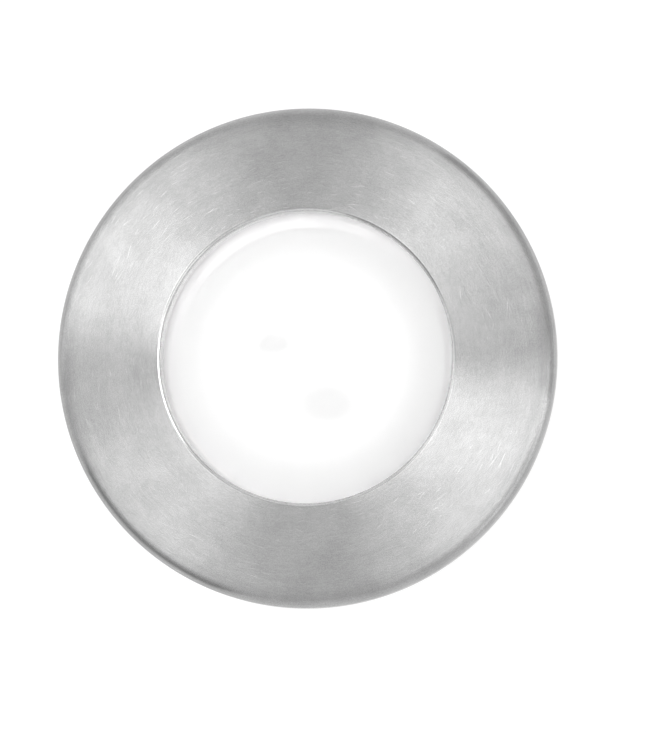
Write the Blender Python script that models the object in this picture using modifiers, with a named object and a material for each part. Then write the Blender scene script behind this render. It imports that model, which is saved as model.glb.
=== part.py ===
# Small in-ground well light: a brushed steel face ring screwed down over a lit glass lens,
# the sealed housing that carries the lamp and its driver, and the sleeve buried round them.
# Metres, +Z up along the light's axis, origin at the middle of the sleeve's foot.

import math

import bmesh
import bpy
from mathutils import Matrix, Vector

# Gaps between neighbours
SEAT_GAP = 0.0003
OVERRUN = 0.001
WELD_DISTANCE = 0.00001

# Burial sleeve
SLEEVE_HEIGHT = 0.064
SLEEVE_WALL = 0.0018
SLEEVE_CLEARANCE = 0.0004
SLEEVE_RIM_SHARE = 35 / 88
SLEEVE_RIM_THICKNESS = 0.0016
SLEEVE_FOOT_THICKNESS = 0.0024
SLEEVE_DRAIN_RADIUS = 0.0205
SLEEVE_RIB_COUNT = 6
SLEEVE_RIB_PROUD = 0.0007
SLEEVE_RIB_WIDTH = 0.0022
SLEEVE_RIB_FOOT = 0.016
CABLE_NOTCH_WIDTH = 0.012
CABLE_NOTCH_HEIGHT = 0.013

# Face ring
RING_RADIUS = 0.038
RING_THICKNESS = 0.004
RING_SHOULDER_WIDTH = 0.0021
RING_SHOULDER_DROP = 0.0016
RING_FOOT_BEVEL = 0.0005
RING_RECESS_CLEARANCE = 0.0006
RING_RECESS_DEPTH = 0.0006
APERTURE_RADIUS = 0.0221
APERTURE_BEVEL = 0.0008
SKIRT_DEPTH = 0.0114
SKIRT_WALL = 0.0013

# Screw thread between ring and housing neck
THREAD_PITCH = 0.003
THREAD_SPACE = 0.0013
NECK_THREAD_TURNS = 2.0
NECK_THREAD_RADIUS = 0.00075
RING_THREAD_TURNS = 1.5
RING_THREAD_RADIUS = 0.00065
THREAD_INSET = 0.0001
THREAD_POINTS_PER_TURN = 24
SKIRT_THREAD_LAND = 0.00035

# Glass and what seals and carries it
WASHER_THICKNESS = 0.0004
WASHER_SETBACK = 0.0003
LENS_OVERLAP = 0.0012
LENS_THICKNESS = 0.005
LENS_BEVEL = 0.0005
LENS_PROUD = 0.001
GASKET_THICKNESS = 0.0012
LEDGE_SETBACK = 0.0013
DIFFUSER_INSET = 0.0005

# Reflector and light board
REFLECTOR_DEPTH = 0.008
REFLECTOR_WALL = 0.0012
REFLECTOR_RIM = 0.0015
REFLECTOR_FLOOR_SHARE = 0.488
LIGHT_BOARD_THICKNESS = 0.0014
BOARD_EDGE_CLEARANCE = 0.0004
EMITTER_COUNT = 3
EMITTER_CIRCLE_RADIUS = 0.0052
EMITTER_BASE_SIDE = 0.0036
EMITTER_BASE_HEIGHT = 0.0009
EMITTER_DOME_RADIUS = 0.0014
THERMAL_PAD_CLEARANCE = 0.00115
THERMAL_PAD_THICKNESS = 0.0005
BOARD_SCREW_DEGREES = (0, 180)
BOARD_SCREW_INSET = 0.0035
BOARD_SCREW_RADIUS = 0.00125
BOARD_SCREW_HEAD_RADIUS = 0.0022
BOARD_SCREW_HEAD_HEIGHT = 0.0014
BOARD_SCREW_BITE = 0.0018
PAN_HEAD_FLAT_SHARE = 0.62
PAN_HEAD_SIDE_SHARE = 0.5

# Housing
NECK_WALL = 0.0008
SHELF_THICKNESS = 0.003
CHAMBER_DEPTH = 0.020
HOUSING_CLEARANCE = 0.0006
SHOULDER_GAP = 0.0005
LAND_HEIGHT = 0.0064
FIN_COUNT = 18
FIN_DEPTH = 0.0018
FIN_WIDTH = 0.0024
FIN_ROOT = 0.0009
GRIP_RING_CORD_RADIUS = 0.001
GRIP_GROOVE_WIDTH = 0.0027

# Driver board and what stands on it
DRIVER_BOARD_CLEARANCE = 0.0016
DRIVER_BOARD_THICKNESS = 0.0012
SPACER_HEIGHT = 0.0024
SPACER_RADIUS = 0.0022
SPACER_BORE_CLEARANCE = 0.0003
DRIVER_SCREW_DEGREES = (50, 230)
DRIVER_SCREW_INSET = 0.0032
CAPACITOR_RADIUS = 0.004
CAPACITOR_HEIGHT = 0.010
SMALL_CAPACITOR_RADIUS = 0.003
SMALL_CAPACITOR_HEIGHT = 0.0075
CAPACITOR_CRIMP = 0.00035
CAPACITOR_CRIMP_SHARES = (0.3, 0.45, 0.6)
INDUCTOR_RADIUS = 0.0045
INDUCTOR_HEIGHT = 0.0065
INDUCTOR_FLANGE = 0.001
INDUCTOR_CORE_RADIUS = 0.0022
WINDING_SETBACK = 0.0006
RECTIFIER_SIZE = (0.0048, 0.0066, 0.0024)
CHIP_SIZE = (0.004, 0.005, 0.0015)
TERMINAL_SIZE = (0.0102, 0.0074, 0.0085)
TERMINAL_WAY_SPACING = 0.005
TERMINAL_WAY_SIDE = 0.0028
TERMINAL_SCREW_RADIUS = 0.0014
TERMINAL_SCREW_HEIGHT = 0.0015
TERMINAL_SETBACK_SHARE = 0.95
COMPONENT_BEVEL = 0.0003
# Each component's place: how far out on the driver board it stands, and at what angle
CAPACITOR_PLACE_SHARE = 0.58
CAPACITOR_DEGREES = 105
SMALL_CAPACITOR_PLACE_SHARE = 0.70
SMALL_CAPACITOR_DEGREES = 12
INDUCTOR_PLACE_SHARE = 0.47
INDUCTOR_DEGREES = 325
RECTIFIER_PLACE_SHARE = 0.62
RECTIFIER_DEGREES = 262
CHIP_PLACE_SHARE = 0.12
CHIP_DEGREES = 90

# Leads inside the housing
LEAD_RADIUS = 0.0006
LEAD_HOLE_RADIUS = 0.0011
LEAD_INSET = 0.0022
LEAD_DEGREES = (81, 99)
LEAD_RISE = 0.0022
LEAD_REACH_SHARE = 0.38

# Base cap and its screws
CAP_THICKNESS = 0.003
SPIGOT_HEIGHT = 0.003
SPIGOT_WALL = 0.0026
SPIGOT_CLEARANCE = 0.0003
BASE_SEAL_CORD_RADIUS = 0.0007
BASE_SCREW_COUNT = 4
BASE_SCREW_RADIUS = 0.0013
BASE_SCREW_HEAD_RADIUS = 0.0023
BASE_SCREW_HEAD_HEIGHT = 0.0016
BASE_SCREW_BITE = 0.0045
VENT_DEGREES = 300
VENT_STEM_RADIUS = 0.0018
VENT_HEAD_RADIUS = 0.0032
VENT_HEAD_HEIGHT = 0.0016
VENT_HEAD_FLAT_SHARE = 0.8
VENT_HEAD_SIDE_SHARE = 0.7

# Cable gland
CABLE_BORE_RADIUS = 0.0036
GLAND_NECK_RADIUS = 0.006
GLAND_FLANGE_ACROSS = 0.0085
GLAND_FLANGE_HEIGHT = 0.0028
GLAND_WASHER_THICKNESS = 0.001
GLAND_WASHER_RADIUS = 0.0078
GLAND_STUB_LENGTH = 0.0048
GLAND_SEAL_LENGTH = 0.0036
GLAND_SEAL_RADIUS = 0.0048
GLAND_SEAL_BORE_RADIUS = 0.0033
LOCKNUT_HEIGHT = 0.0024
LOCKNUT_ACROSS = 0.008
GLAND_NUT_HEIGHT = 0.0078
GLAND_NUT_RADIUS = 0.0084
GLAND_NUT_DOME = 0.0026
GLAND_NUT_FLATS = 10

# Fineness of round shapes
RING_STEPS = 64
BODY_STEPS = 40
SMALL_STEPS = 20
DOME_STEPS = 12
ARC_STEPS = 4
BEVEL_STEPS = 3
HEXAGON = 6
SHARP_EDGE = math.radians(35)

# Radii that follow from the values above
LENS_RADIUS = APERTURE_RADIUS + LENS_OVERLAP
SEAT_RADIUS = LENS_RADIUS + SEAT_GAP
NECK_RADIUS = SEAT_RADIUS + NECK_WALL
SKIRT_BORE = NECK_RADIUS + THREAD_SPACE
SKIRT_RADIUS = SKIRT_BORE + SKIRT_WALL
SLEEVE_BORE = SKIRT_RADIUS + SLEEVE_CLEARANCE
SLEEVE_RADIUS = SLEEVE_BORE + SLEEVE_WALL
SLEEVE_RIM_OVERHANG = (RING_RADIUS - SLEEVE_RADIUS) * SLEEVE_RIM_SHARE
HOUSING_RADIUS = SLEEVE_BORE - HOUSING_CLEARANCE
CHAMBER_RADIUS = APERTURE_RADIUS - LEDGE_SETBACK
GRIP_RING_RADIUS = SLEEVE_BORE - SEAT_GAP - GRIP_RING_CORD_RADIUS
GRIP_GROOVE_RADIUS = GRIP_RING_RADIUS - GRIP_RING_CORD_RADIUS - SEAT_GAP
BOARD_RADIUS = CHAMBER_RADIUS - BOARD_EDGE_CLEARANCE
BOARD_SCREW_CIRCLE_RADIUS = BOARD_RADIUS - BOARD_SCREW_INSET
THERMAL_PAD_RADIUS = BOARD_SCREW_CIRCLE_RADIUS - BOARD_SCREW_RADIUS - THERMAL_PAD_CLEARANCE
REFLECTOR_RADIUS = CHAMBER_RADIUS - SEAT_GAP
REFLECTOR_FLOOR_RADIUS = REFLECTOR_RADIUS * REFLECTOR_FLOOR_SHARE
REFLECTOR_FOOT_RADIUS = REFLECTOR_FLOOR_RADIUS + REFLECTOR_WALL
DRIVER_BOARD_RADIUS = CHAMBER_RADIUS - DRIVER_BOARD_CLEARANCE
DRIVER_SCREW_CIRCLE_RADIUS = DRIVER_BOARD_RADIUS - DRIVER_SCREW_INSET
LEAD_CIRCLE_RADIUS = DRIVER_BOARD_RADIUS - LEAD_INSET
LEAD_REACH = (LEAD_CIRCLE_RADIUS - REFLECTOR_FOOT_RADIUS) * LEAD_REACH_SHARE
SPIGOT_RADIUS = CHAMBER_RADIUS - SPIGOT_CLEARANCE
SPIGOT_BORE = SPIGOT_RADIUS - SPIGOT_WALL
VENT_INNER_LIMIT = GLAND_FLANGE_ACROSS + VENT_HEAD_RADIUS
VENT_OUTER_LIMIT = SPIGOT_BORE - VENT_STEM_RADIUS
VENT_CIRCLE_RADIUS = (VENT_INNER_LIMIT + VENT_OUTER_LIMIT) / 2
BASE_SCREW_CIRCLE_RADIUS = (CHAMBER_RADIUS + HOUSING_RADIUS) / 2
GLAND_HOLE_RADIUS = GLAND_NECK_RADIUS + SEAT_GAP

# Heights that follow, from the ring down to the gland
RING_UNDERSIDE = SLEEVE_HEIGHT + SEAT_GAP
RING_TOP = RING_UNDERSIDE + RING_THICKNESS
SKIRT_FOOT = RING_UNDERSIDE - SKIRT_DEPTH
WASHER_FOOT = RING_UNDERSIDE - SEAT_GAP - WASHER_THICKNESS
LENS_TOP = WASHER_FOOT - SEAT_GAP
LENS_FOOT = LENS_TOP - LENS_THICKNESS
NECK_TOP = LENS_TOP - LENS_PROUD
GASKET_FOOT = LENS_FOOT - SEAT_GAP - GASKET_THICKNESS
LEDGE = GASKET_FOOT - SEAT_GAP
REFLECTOR_FOOT = LEDGE - REFLECTOR_DEPTH
LIGHT_BOARD_FOOT = REFLECTOR_FOOT - SEAT_GAP - LIGHT_BOARD_THICKNESS
THERMAL_PAD_FOOT = LIGHT_BOARD_FOOT - SEAT_GAP - THERMAL_PAD_THICKNESS
SHELF_TOP = THERMAL_PAD_FOOT - SEAT_GAP
SHELF_FOOT = SHELF_TOP - SHELF_THICKNESS
HOUSING_FOOT = SHELF_FOOT - CHAMBER_DEPTH
HOUSING_SHOULDER = SKIRT_FOOT - SHOULDER_GAP
SPACER_FOOT = SHELF_FOOT - SEAT_GAP - SPACER_HEIGHT
DRIVER_BOARD_FOOT = SPACER_FOOT - SEAT_GAP - DRIVER_BOARD_THICKNESS
COMPONENT_TOP = DRIVER_BOARD_FOOT - SEAT_GAP
CAP_TOP = HOUSING_FOOT - SEAT_GAP
CAP_FOOT = CAP_TOP - CAP_THICKNESS
GLAND_FLANGE_TOP = CAP_FOOT - SEAT_GAP - GLAND_WASHER_THICKNESS - SEAT_GAP
GLAND_FLANGE_FOOT = GLAND_FLANGE_TOP - GLAND_FLANGE_HEIGHT
GLAND_STUB_FOOT = GLAND_FLANGE_FOOT - GLAND_STUB_LENGTH
RING_THREAD_START = SKIRT_FOOT + RING_THREAD_RADIUS + SKIRT_THREAD_LAND
NECK_THREAD_START = RING_THREAD_START + THREAD_PITCH / 2

parts = bpy.data.collections.new("well_light")
cutters = bpy.data.collections.new("cutters")


def clear_scene():
    for old in list(bpy.data.objects):
        bpy.data.objects.remove(old, do_unlink=True)
    bpy.context.scene.collection.children.link(parts)
    bpy.context.scene.collection.children.link(cutters)
    cutters.hide_render = True


def body(name):
    """An empty on the light's axis that carries the pieces which move together."""
    empty = bpy.data.objects.new(name, None)
    parts.objects.link(empty)
    return empty


def material(name, colour, roughness, metallic=0.0):
    found = bpy.data.materials.get(name)
    if found:
        return found
    made = bpy.data.materials.new(name)
    made.use_nodes = True
    shader = made.node_tree.nodes["Principled BSDF"]
    shader.inputs["Base Color"].default_value = (*colour, 1.0)
    shader.inputs["Roughness"].default_value = roughness
    shader.inputs["Metallic"].default_value = metallic
    return made


def piece(name, mesh, finish, carrier, place=(0, 0, 0), turn=0.0):
    """Puts a mesh in the part at its place, turned about its own upright axis."""
    obj = bpy.data.objects.new(name, mesh)
    parts.objects.link(obj)
    obj.parent = carrier
    obj.location = place
    obj.rotation_euler.z = turn
    if not obj.data.materials:
        obj.data.materials.append(finish)
    return obj


def helper(name, mesh, place=(0, 0, 0), turn=0.0):
    """A shape that only cuts or joins another."""
    obj = bpy.data.objects.new(name, mesh)
    cutters.objects.link(obj)
    obj.location = place
    obj.rotation_euler.z = turn
    obj.hide_render = True
    obj.display_type = "WIRE"
    return obj


def use(obj, other, operation):
    step = obj.modifiers.new(f"{operation.lower()}_{other.name}", "BOOLEAN")
    step.object = other
    step.operation = operation
    step.solver = "EXACT"


def cut(obj, other):
    use(obj, other, "DIFFERENCE")


def join(obj, other):
    use(obj, other, "UNION")


def at_angle(radius, degrees, height=0.0):
    angle = math.radians(degrees)
    return Vector((radius * math.cos(angle), radius * math.sin(angle), height))


def arc(middle, radii, start, end, steps=ARC_STEPS):
    """Points of a quarter-round in a profile, as (radius, height), angles in degrees."""
    points = []
    for i in range(steps + 1):
        angle = math.radians(start + (end - start) * i / steps)
        points.append((middle[0] + radii[0] * math.cos(angle), middle[1] + radii[1] * math.sin(angle)))
    return points


def profile_mesh(name, points, closed):
    mesh = bpy.data.meshes.new(name)
    edges = [(i, i + 1) for i in range(len(points) - 1)]
    if closed:
        edges.append((len(points) - 1, 0))
    mesh.from_pydata([(radius, 0.0, height) for radius, height in points], edges, [])
    return mesh


def spin(obj, steps):
    screw = obj.modifiers.new("turn", "SCREW")
    screw.axis = "Z"
    screw.steps = steps
    screw.render_steps = steps
    screw.use_merge_vertices = True
    screw.merge_threshold = WELD_DISTANCE
    screw.use_smooth_shade = True


def turned(name, points, finish, carrier, place=(0, 0, 0), steps=BODY_STEPS):
    """A turned piece. The profile runs down its outer side, and closes unless it meets the axis."""
    closed = points[0][0] > 0
    obj = piece(name, profile_mesh(name, points, closed), finish, carrier, place)
    spin(obj, steps)
    return obj


def turned_helper(name, points, place=(0, 0, 0), steps=BODY_STEPS):
    obj = helper(name, profile_mesh(name, points, points[0][0] > 0), place)
    spin(obj, steps)
    return obj


def band(inner, outer, foot, top):
    """The profile of a plain ring."""
    return [(inner, top), (outer, top), (outer, foot), (inner, foot)]


def round_cord(radius, cord, sides=6):
    """The profile of a ring of round cord, whose lowest point is at height 0."""
    full_turn = 360.0
    points = []
    for i in range(sides):
        angle = math.radians(90.0 - full_turn * i / sides)
        points.append((radius + cord * math.cos(angle), cord + cord * math.sin(angle)))
    return points


def cylinder_mesh(name, radius, height, steps=SMALL_STEPS):
    """A cylinder that stands on height 0."""
    bm = bmesh.new()
    bmesh.ops.create_cone(
        bm,
        cap_ends=True,
        segments=steps,
        radius1=radius,
        radius2=radius,
        depth=height,
        matrix=Matrix.Translation((0, 0, height / 2)),
    )
    mesh = bpy.data.meshes.new(name)
    bm.to_mesh(mesh)
    bm.free()
    return mesh


def box_mesh(name, size):
    """A box that stands on height 0."""
    bm = bmesh.new()
    bmesh.ops.create_cube(bm, size=1.0)
    bmesh.ops.scale(bm, vec=size, verts=bm.verts)
    bmesh.ops.translate(bm, vec=(0, 0, size[2] / 2), verts=bm.verts)
    mesh = bpy.data.meshes.new(name)
    bm.to_mesh(mesh)
    bm.free()
    return mesh


def drill(obj, name, radius, foot, top, place=(0, 0)):
    """A round hole from foot to top."""
    hole = cylinder_mesh(name, radius, top - foot)
    cut(obj, helper(name, hole, (place[0], place[1], foot)))


def bevel(obj, width):
    edge = obj.modifiers.new("edge", "BEVEL")
    edge.width = width
    edge.segments = 1


def curve_mesh(name, points, radius, resolution):
    """A round tube with closed ends along the points, made a mesh so that it can be joined or cut."""
    curve = bpy.data.curves.new(name, "CURVE")
    curve.dimensions = "3D"
    curve.bevel_depth = radius
    curve.bevel_resolution = resolution
    curve.use_fill_caps = True
    spline = curve.splines.new("POLY")
    spline.points.add(len(points) - 1)
    for point, at in zip(spline.points, points):
        point.co = (*at, 1.0)
    return mesh_of_curve(name, curve)


def mesh_of_curve(name, curve):
    guide = bpy.data.objects.new(name + "_guide", curve)
    bpy.context.scene.collection.objects.link(guide)
    graph = bpy.context.evaluated_depsgraph_get()
    mesh = bpy.data.meshes.new_from_object(guide.evaluated_get(graph))
    bpy.data.objects.remove(guide)
    bm = bmesh.new()
    bm.from_mesh(mesh)
    bmesh.ops.remove_doubles(bm, verts=bm.verts, dist=WELD_DISTANCE)
    bmesh.ops.recalc_face_normals(bm, faces=bm.faces)
    bm.to_mesh(mesh)
    bm.free()
    return mesh


def helix(radius, turns):
    """Points up a right-hand screw thread, from height 0."""
    count = round(turns * THREAD_POINTS_PER_TURN)
    points = []
    for i in range(count + 1):
        turn = turns * i / count
        points.append(at_angle(radius, math.degrees(math.tau * turn), THREAD_PITCH * turn))
    return points


def pan_screw(name, shank, length, head, head_height, finish, carrier, place, upwards):
    """A screw of one piece, its head's flat side at height 0. Its shank points down or up."""
    way = 1 if upwards else -1
    points = [
        (0, -way * head_height),
        (head * PAN_HEAD_FLAT_SHARE, -way * head_height),
        (head, -way * head_height * PAN_HEAD_SIDE_SHARE),
        (head, 0),
        (shank, 0),
        (shank, way * length),
        (0, way * length),
    ]
    if upwards:
        points.reverse()
    return turned(name, points, finish, carrier, place, SMALL_STEPS)


# The sleeve, which stays in the ground
def burial_sleeve():
    black = material("sleeve_black", (0.03, 0.03, 0.032), 0.6)
    rim = SLEEVE_RADIUS + SLEEVE_RIM_OVERHANG
    rim_foot = SLEEVE_HEIGHT - SLEEVE_RIM_THICKNESS
    profile = [
        (SLEEVE_BORE, SLEEVE_HEIGHT),
        (rim, SLEEVE_HEIGHT),
        (rim, rim_foot),
        (SLEEVE_RADIUS, rim_foot),
        (SLEEVE_RADIUS, 0),
        (SLEEVE_DRAIN_RADIUS, 0),
        (SLEEVE_DRAIN_RADIUS, SLEEVE_FOOT_THICKNESS),
        (SLEEVE_BORE, SLEEVE_FOOT_THICKNESS),
    ]
    sleeve = turned("burial_sleeve", profile, black, None, steps=RING_STEPS)
    rib_height = rim_foot - SLEEVE_RIB_FOOT + SLEEVE_RIM_THICKNESS / 2
    rib_depth = SLEEVE_RIB_PROUD + SLEEVE_WALL / 2
    rib = box_mesh("sleeve_rib", (rib_depth, SLEEVE_RIB_WIDTH, rib_height))
    middle = SLEEVE_RADIUS + SLEEVE_RIB_PROUD - rib_depth / 2
    for i in range(SLEEVE_RIB_COUNT):
        angle = 360 * i / SLEEVE_RIB_COUNT
        place = at_angle(middle, angle, SLEEVE_RIB_FOOT)
        join(sleeve, helper(f"sleeve_rib_{i + 1}", rib, place, math.radians(angle)))
    notch_depth = SLEEVE_RADIUS - SLEEVE_DRAIN_RADIUS + 2 * OVERRUN
    notch_size = (CABLE_NOTCH_WIDTH, notch_depth, CABLE_NOTCH_HEIGHT + OVERRUN)
    notch_middle = (SLEEVE_RADIUS + SLEEVE_DRAIN_RADIUS) / 2
    notch = box_mesh("cable_notch", notch_size)
    cut(sleeve, helper("cable_notch", notch, (0, notch_middle, -OVERRUN)))
    return sleeve


# The face ring and what turns or rises with it
def face_ring(carrier):
    steel = material("brushed_steel", (0.62, 0.62, 0.62), 0.34, 1.0)
    shoulder = RING_RADIUS - RING_SHOULDER_WIDTH
    shoulder_foot = RING_TOP - RING_SHOULDER_DROP
    recess = SLEEVE_RADIUS + SLEEVE_RIM_OVERHANG + RING_RECESS_CLEARANCE
    recess_roof = RING_UNDERSIDE + RING_RECESS_DEPTH
    bevel_middle = (APERTURE_RADIUS + APERTURE_BEVEL, RING_TOP - APERTURE_BEVEL)
    profile = arc(bevel_middle, (APERTURE_BEVEL, APERTURE_BEVEL), 180, 90, BEVEL_STEPS)
    profile += arc((shoulder, shoulder_foot), (RING_SHOULDER_WIDTH, RING_SHOULDER_DROP), 90, 0)
    profile += [
        (RING_RADIUS, RING_UNDERSIDE + RING_FOOT_BEVEL),
        (RING_RADIUS - RING_FOOT_BEVEL, RING_UNDERSIDE),
        (recess, RING_UNDERSIDE),
        (recess, recess_roof),
        (SKIRT_RADIUS, recess_roof),
        (SKIRT_RADIUS, SKIRT_FOOT),
        (SKIRT_BORE, SKIRT_FOOT),
        (SKIRT_BORE, RING_UNDERSIDE),
        (APERTURE_RADIUS, RING_UNDERSIDE),
    ]
    ring = turned("face_ring", profile, steel, carrier, steps=RING_STEPS)
    path = helix(SKIRT_BORE - THREAD_INSET, RING_THREAD_TURNS)
    ridge = curve_mesh("ring_thread", path, RING_THREAD_RADIUS, 1)
    join(ring, helper("ring_thread", ridge, (0, 0, RING_THREAD_START)))
    return ring


def slip_washer(carrier):
    nylon = material("nylon", (0.80, 0.80, 0.77), 0.45)
    profile = band(APERTURE_RADIUS + WASHER_SETBACK, LENS_RADIUS, 0, WASHER_THICKNESS)
    return turned("slip_washer", profile, nylon, carrier, (0, 0, WASHER_FOOT))


# The glass and its seat
def lens(carrier):
    glass = material("glass", (0.93, 0.96, 0.96), 0.05)
    flat = LENS_RADIUS - LENS_BEVEL
    profile = [
        (0, LENS_THICKNESS),
        (flat, LENS_THICKNESS),
        (LENS_RADIUS, LENS_THICKNESS - LENS_BEVEL),
        (LENS_RADIUS, LENS_BEVEL),
        (flat, 0),
        (0, 0),
    ]
    return turned("lens", profile, glass, carrier, (0, 0, LENS_FOOT), RING_STEPS)


def lens_gasket(carrier):
    silicone = material("white_silicone", (0.85, 0.85, 0.84), 0.55)
    inner = CHAMBER_RADIUS + SEAT_GAP / 2
    profile = band(inner, LENS_RADIUS, 0, GASKET_THICKNESS)
    return turned("lens_gasket", profile, silicone, carrier, (0, 0, GASKET_FOOT))


def diffuser(carrier):
    opal = material("opal", (0.95, 0.95, 0.95), 0.4)
    radius = CHAMBER_RADIUS - DIFFUSER_INSET
    disc = cylinder_mesh("diffuser", radius, GASKET_THICKNESS, BODY_STEPS)
    return piece("diffuser", disc, opal, carrier, (0, 0, GASKET_FOOT))


def reflector(carrier):
    white = material("reflector_white", (0.9, 0.9, 0.9), 0.25)
    rim_foot = REFLECTOR_DEPTH - REFLECTOR_WALL
    mouth = REFLECTOR_RADIUS - REFLECTOR_RIM
    profile = [
        (mouth, REFLECTOR_DEPTH),
        (REFLECTOR_RADIUS, REFLECTOR_DEPTH),
        (REFLECTOR_RADIUS, rim_foot),
        (mouth, rim_foot),
        (REFLECTOR_FOOT_RADIUS, 0),
        (REFLECTOR_FLOOR_RADIUS, 0),
    ]
    return turned("reflector", profile, white, carrier, (0, 0, REFLECTOR_FOOT))


# The light board
def light_board(carrier):
    white = material("board_white", (0.85, 0.86, 0.85), 0.4)
    disc = cylinder_mesh("light_board", BOARD_RADIUS, LIGHT_BOARD_THICKNESS, BODY_STEPS)
    board = piece("light_board", disc, white, carrier, (0, 0, LIGHT_BOARD_FOOT))
    foot = LIGHT_BOARD_FOOT - OVERRUN
    top = REFLECTOR_FOOT + OVERRUN
    for i, place in enumerate(lead_places()):
        drill(board, f"board_lead_hole_{i + 1}", LEAD_HOLE_RADIUS, foot, top, place)
    for i, place in enumerate(board_screw_places()):
        radius = BOARD_SCREW_RADIUS + SEAT_GAP
        drill(board, f"board_screw_hole_{i + 1}", radius, foot, top, place)
    return board


def emitters(carrier):
    yellow = material("phosphor", (0.95, 0.80, 0.35), 0.35)
    base = box_mesh("emitter", (EMITTER_BASE_SIDE, EMITTER_BASE_SIDE, EMITTER_BASE_HEIGHT))
    dome_height = EMITTER_DOME_RADIUS + EMITTER_BASE_HEIGHT
    middle = (0, EMITTER_BASE_HEIGHT)
    radii = (EMITTER_DOME_RADIUS, EMITTER_DOME_RADIUS)
    dome_points = [(0, dome_height)] + arc(middle, radii, 90, 0)[1:]
    dome_points += [(EMITTER_DOME_RADIUS, EMITTER_BASE_HEIGHT / 2), (0, EMITTER_BASE_HEIGHT / 2)]
    foot = REFLECTOR_FOOT
    for i in range(EMITTER_COUNT):
        angle = 90 + 360 * i / EMITTER_COUNT
        place = at_angle(EMITTER_CIRCLE_RADIUS, angle, foot)
        emitter = piece(f"led_{i + 1}", base.copy(), yellow, carrier, place, math.radians(angle))
        dome = turned_helper(f"led_dome_{i + 1}", dome_points, place, DOME_STEPS)
        join(emitter, dome)


def thermal_pad(carrier):
    grey = material("thermal_grey", (0.45, 0.47, 0.50), 0.7)
    disc = cylinder_mesh("thermal_pad", THERMAL_PAD_RADIUS, THERMAL_PAD_THICKNESS, BODY_STEPS)
    return piece("thermal_pad", disc, grey, carrier, (0, 0, THERMAL_PAD_FOOT))


def board_screw_places():
    return [at_angle(BOARD_SCREW_CIRCLE_RADIUS, angle) for angle in BOARD_SCREW_DEGREES]


def board_screws(carrier):
    steel = material("screw_steel", (0.6, 0.6, 0.6), 0.3, 1.0)
    seat = REFLECTOR_FOOT
    length = seat - SHELF_TOP + BOARD_SCREW_BITE
    for i, place in enumerate(board_screw_places()):
        pan_screw(
            f"board_screw_{i + 1}",
            BOARD_SCREW_RADIUS,
            length,
            BOARD_SCREW_HEAD_RADIUS,
            BOARD_SCREW_HEAD_HEIGHT,
            steel,
            carrier,
            (place.x, place.y, seat),
            upwards=False,
        )


# The leads from the driver board to the light board
def lead_places():
    return [at_angle(LEAD_CIRCLE_RADIUS, angle) for angle in LEAD_DEGREES]


def leads(carrier):
    """Each lead rises from the driver board through both boards' holes and bends over to its pad."""
    finishes = {
        "lead_red": material("lead_red", (0.6, 0.03, 0.03), 0.4),
        "lead_black": material("lead_black", (0.02, 0.02, 0.02), 0.4),
    }
    foot = DRIVER_BOARD_FOOT + DRIVER_BOARD_THICKNESS + SEAT_GAP
    pad = REFLECTOR_FOOT
    crest = pad + LEAD_RISE
    for (name, finish), place in zip(finishes.items(), lead_places()):
        inward = -place.normalized()
        points = [(place.x, place.y, foot), (place.x, place.y, pad)]
        for i in range(ARC_STEPS * 2 + 1):
            angle = math.pi * i / (ARC_STEPS * 2)
            along = place + inward * LEAD_REACH * (1 - math.cos(angle)) / 2
            height = pad + (crest - pad) * math.sin(angle)
            if 0 < i < ARC_STEPS * 2:
                points.append((along.x, along.y, height))
        landing = place + inward * LEAD_REACH
        points.append((landing.x, landing.y, pad))
        piece(name, curve_mesh(name, points, LEAD_RADIUS, 2), finish, carrier)


# The housing
def housing_profile():
    """The turned form: threaded neck, two lands with grip grooves, the shelf and both chambers."""
    root = HOUSING_RADIUS - FIN_DEPTH
    upper_foot = HOUSING_SHOULDER - LAND_HEIGHT
    lower_top = HOUSING_FOOT + LAND_HEIGHT
    half_groove = GRIP_GROOVE_WIDTH / 2
    upper_groove = HOUSING_SHOULDER - LAND_HEIGHT / 2
    lower_groove = HOUSING_FOOT + LAND_HEIGHT / 2
    profile = [(SEAT_RADIUS, NECK_TOP), (NECK_RADIUS, NECK_TOP), (NECK_RADIUS, HOUSING_SHOULDER)]
    profile.append((HOUSING_RADIUS, HOUSING_SHOULDER))
    for middle, land_foot in ((upper_groove, upper_foot), (lower_groove, HOUSING_FOOT)):
        profile += [
            (HOUSING_RADIUS, middle + half_groove),
            (GRIP_GROOVE_RADIUS, middle + half_groove),
            (GRIP_GROOVE_RADIUS, middle - half_groove),
            (HOUSING_RADIUS, middle - half_groove),
            (HOUSING_RADIUS, land_foot),
        ]
        if land_foot > HOUSING_FOOT:
            profile += [(root, upper_foot), (root, lower_top), (HOUSING_RADIUS, lower_top)]
    profile += [(CHAMBER_RADIUS, HOUSING_FOOT), (CHAMBER_RADIUS, SHELF_FOOT), (0, SHELF_FOOT)]
    inside = [(0, SHELF_TOP), (CHAMBER_RADIUS, SHELF_TOP), (CHAMBER_RADIUS, LEDGE), (SEAT_RADIUS, LEDGE)]
    return inside + profile


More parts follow.
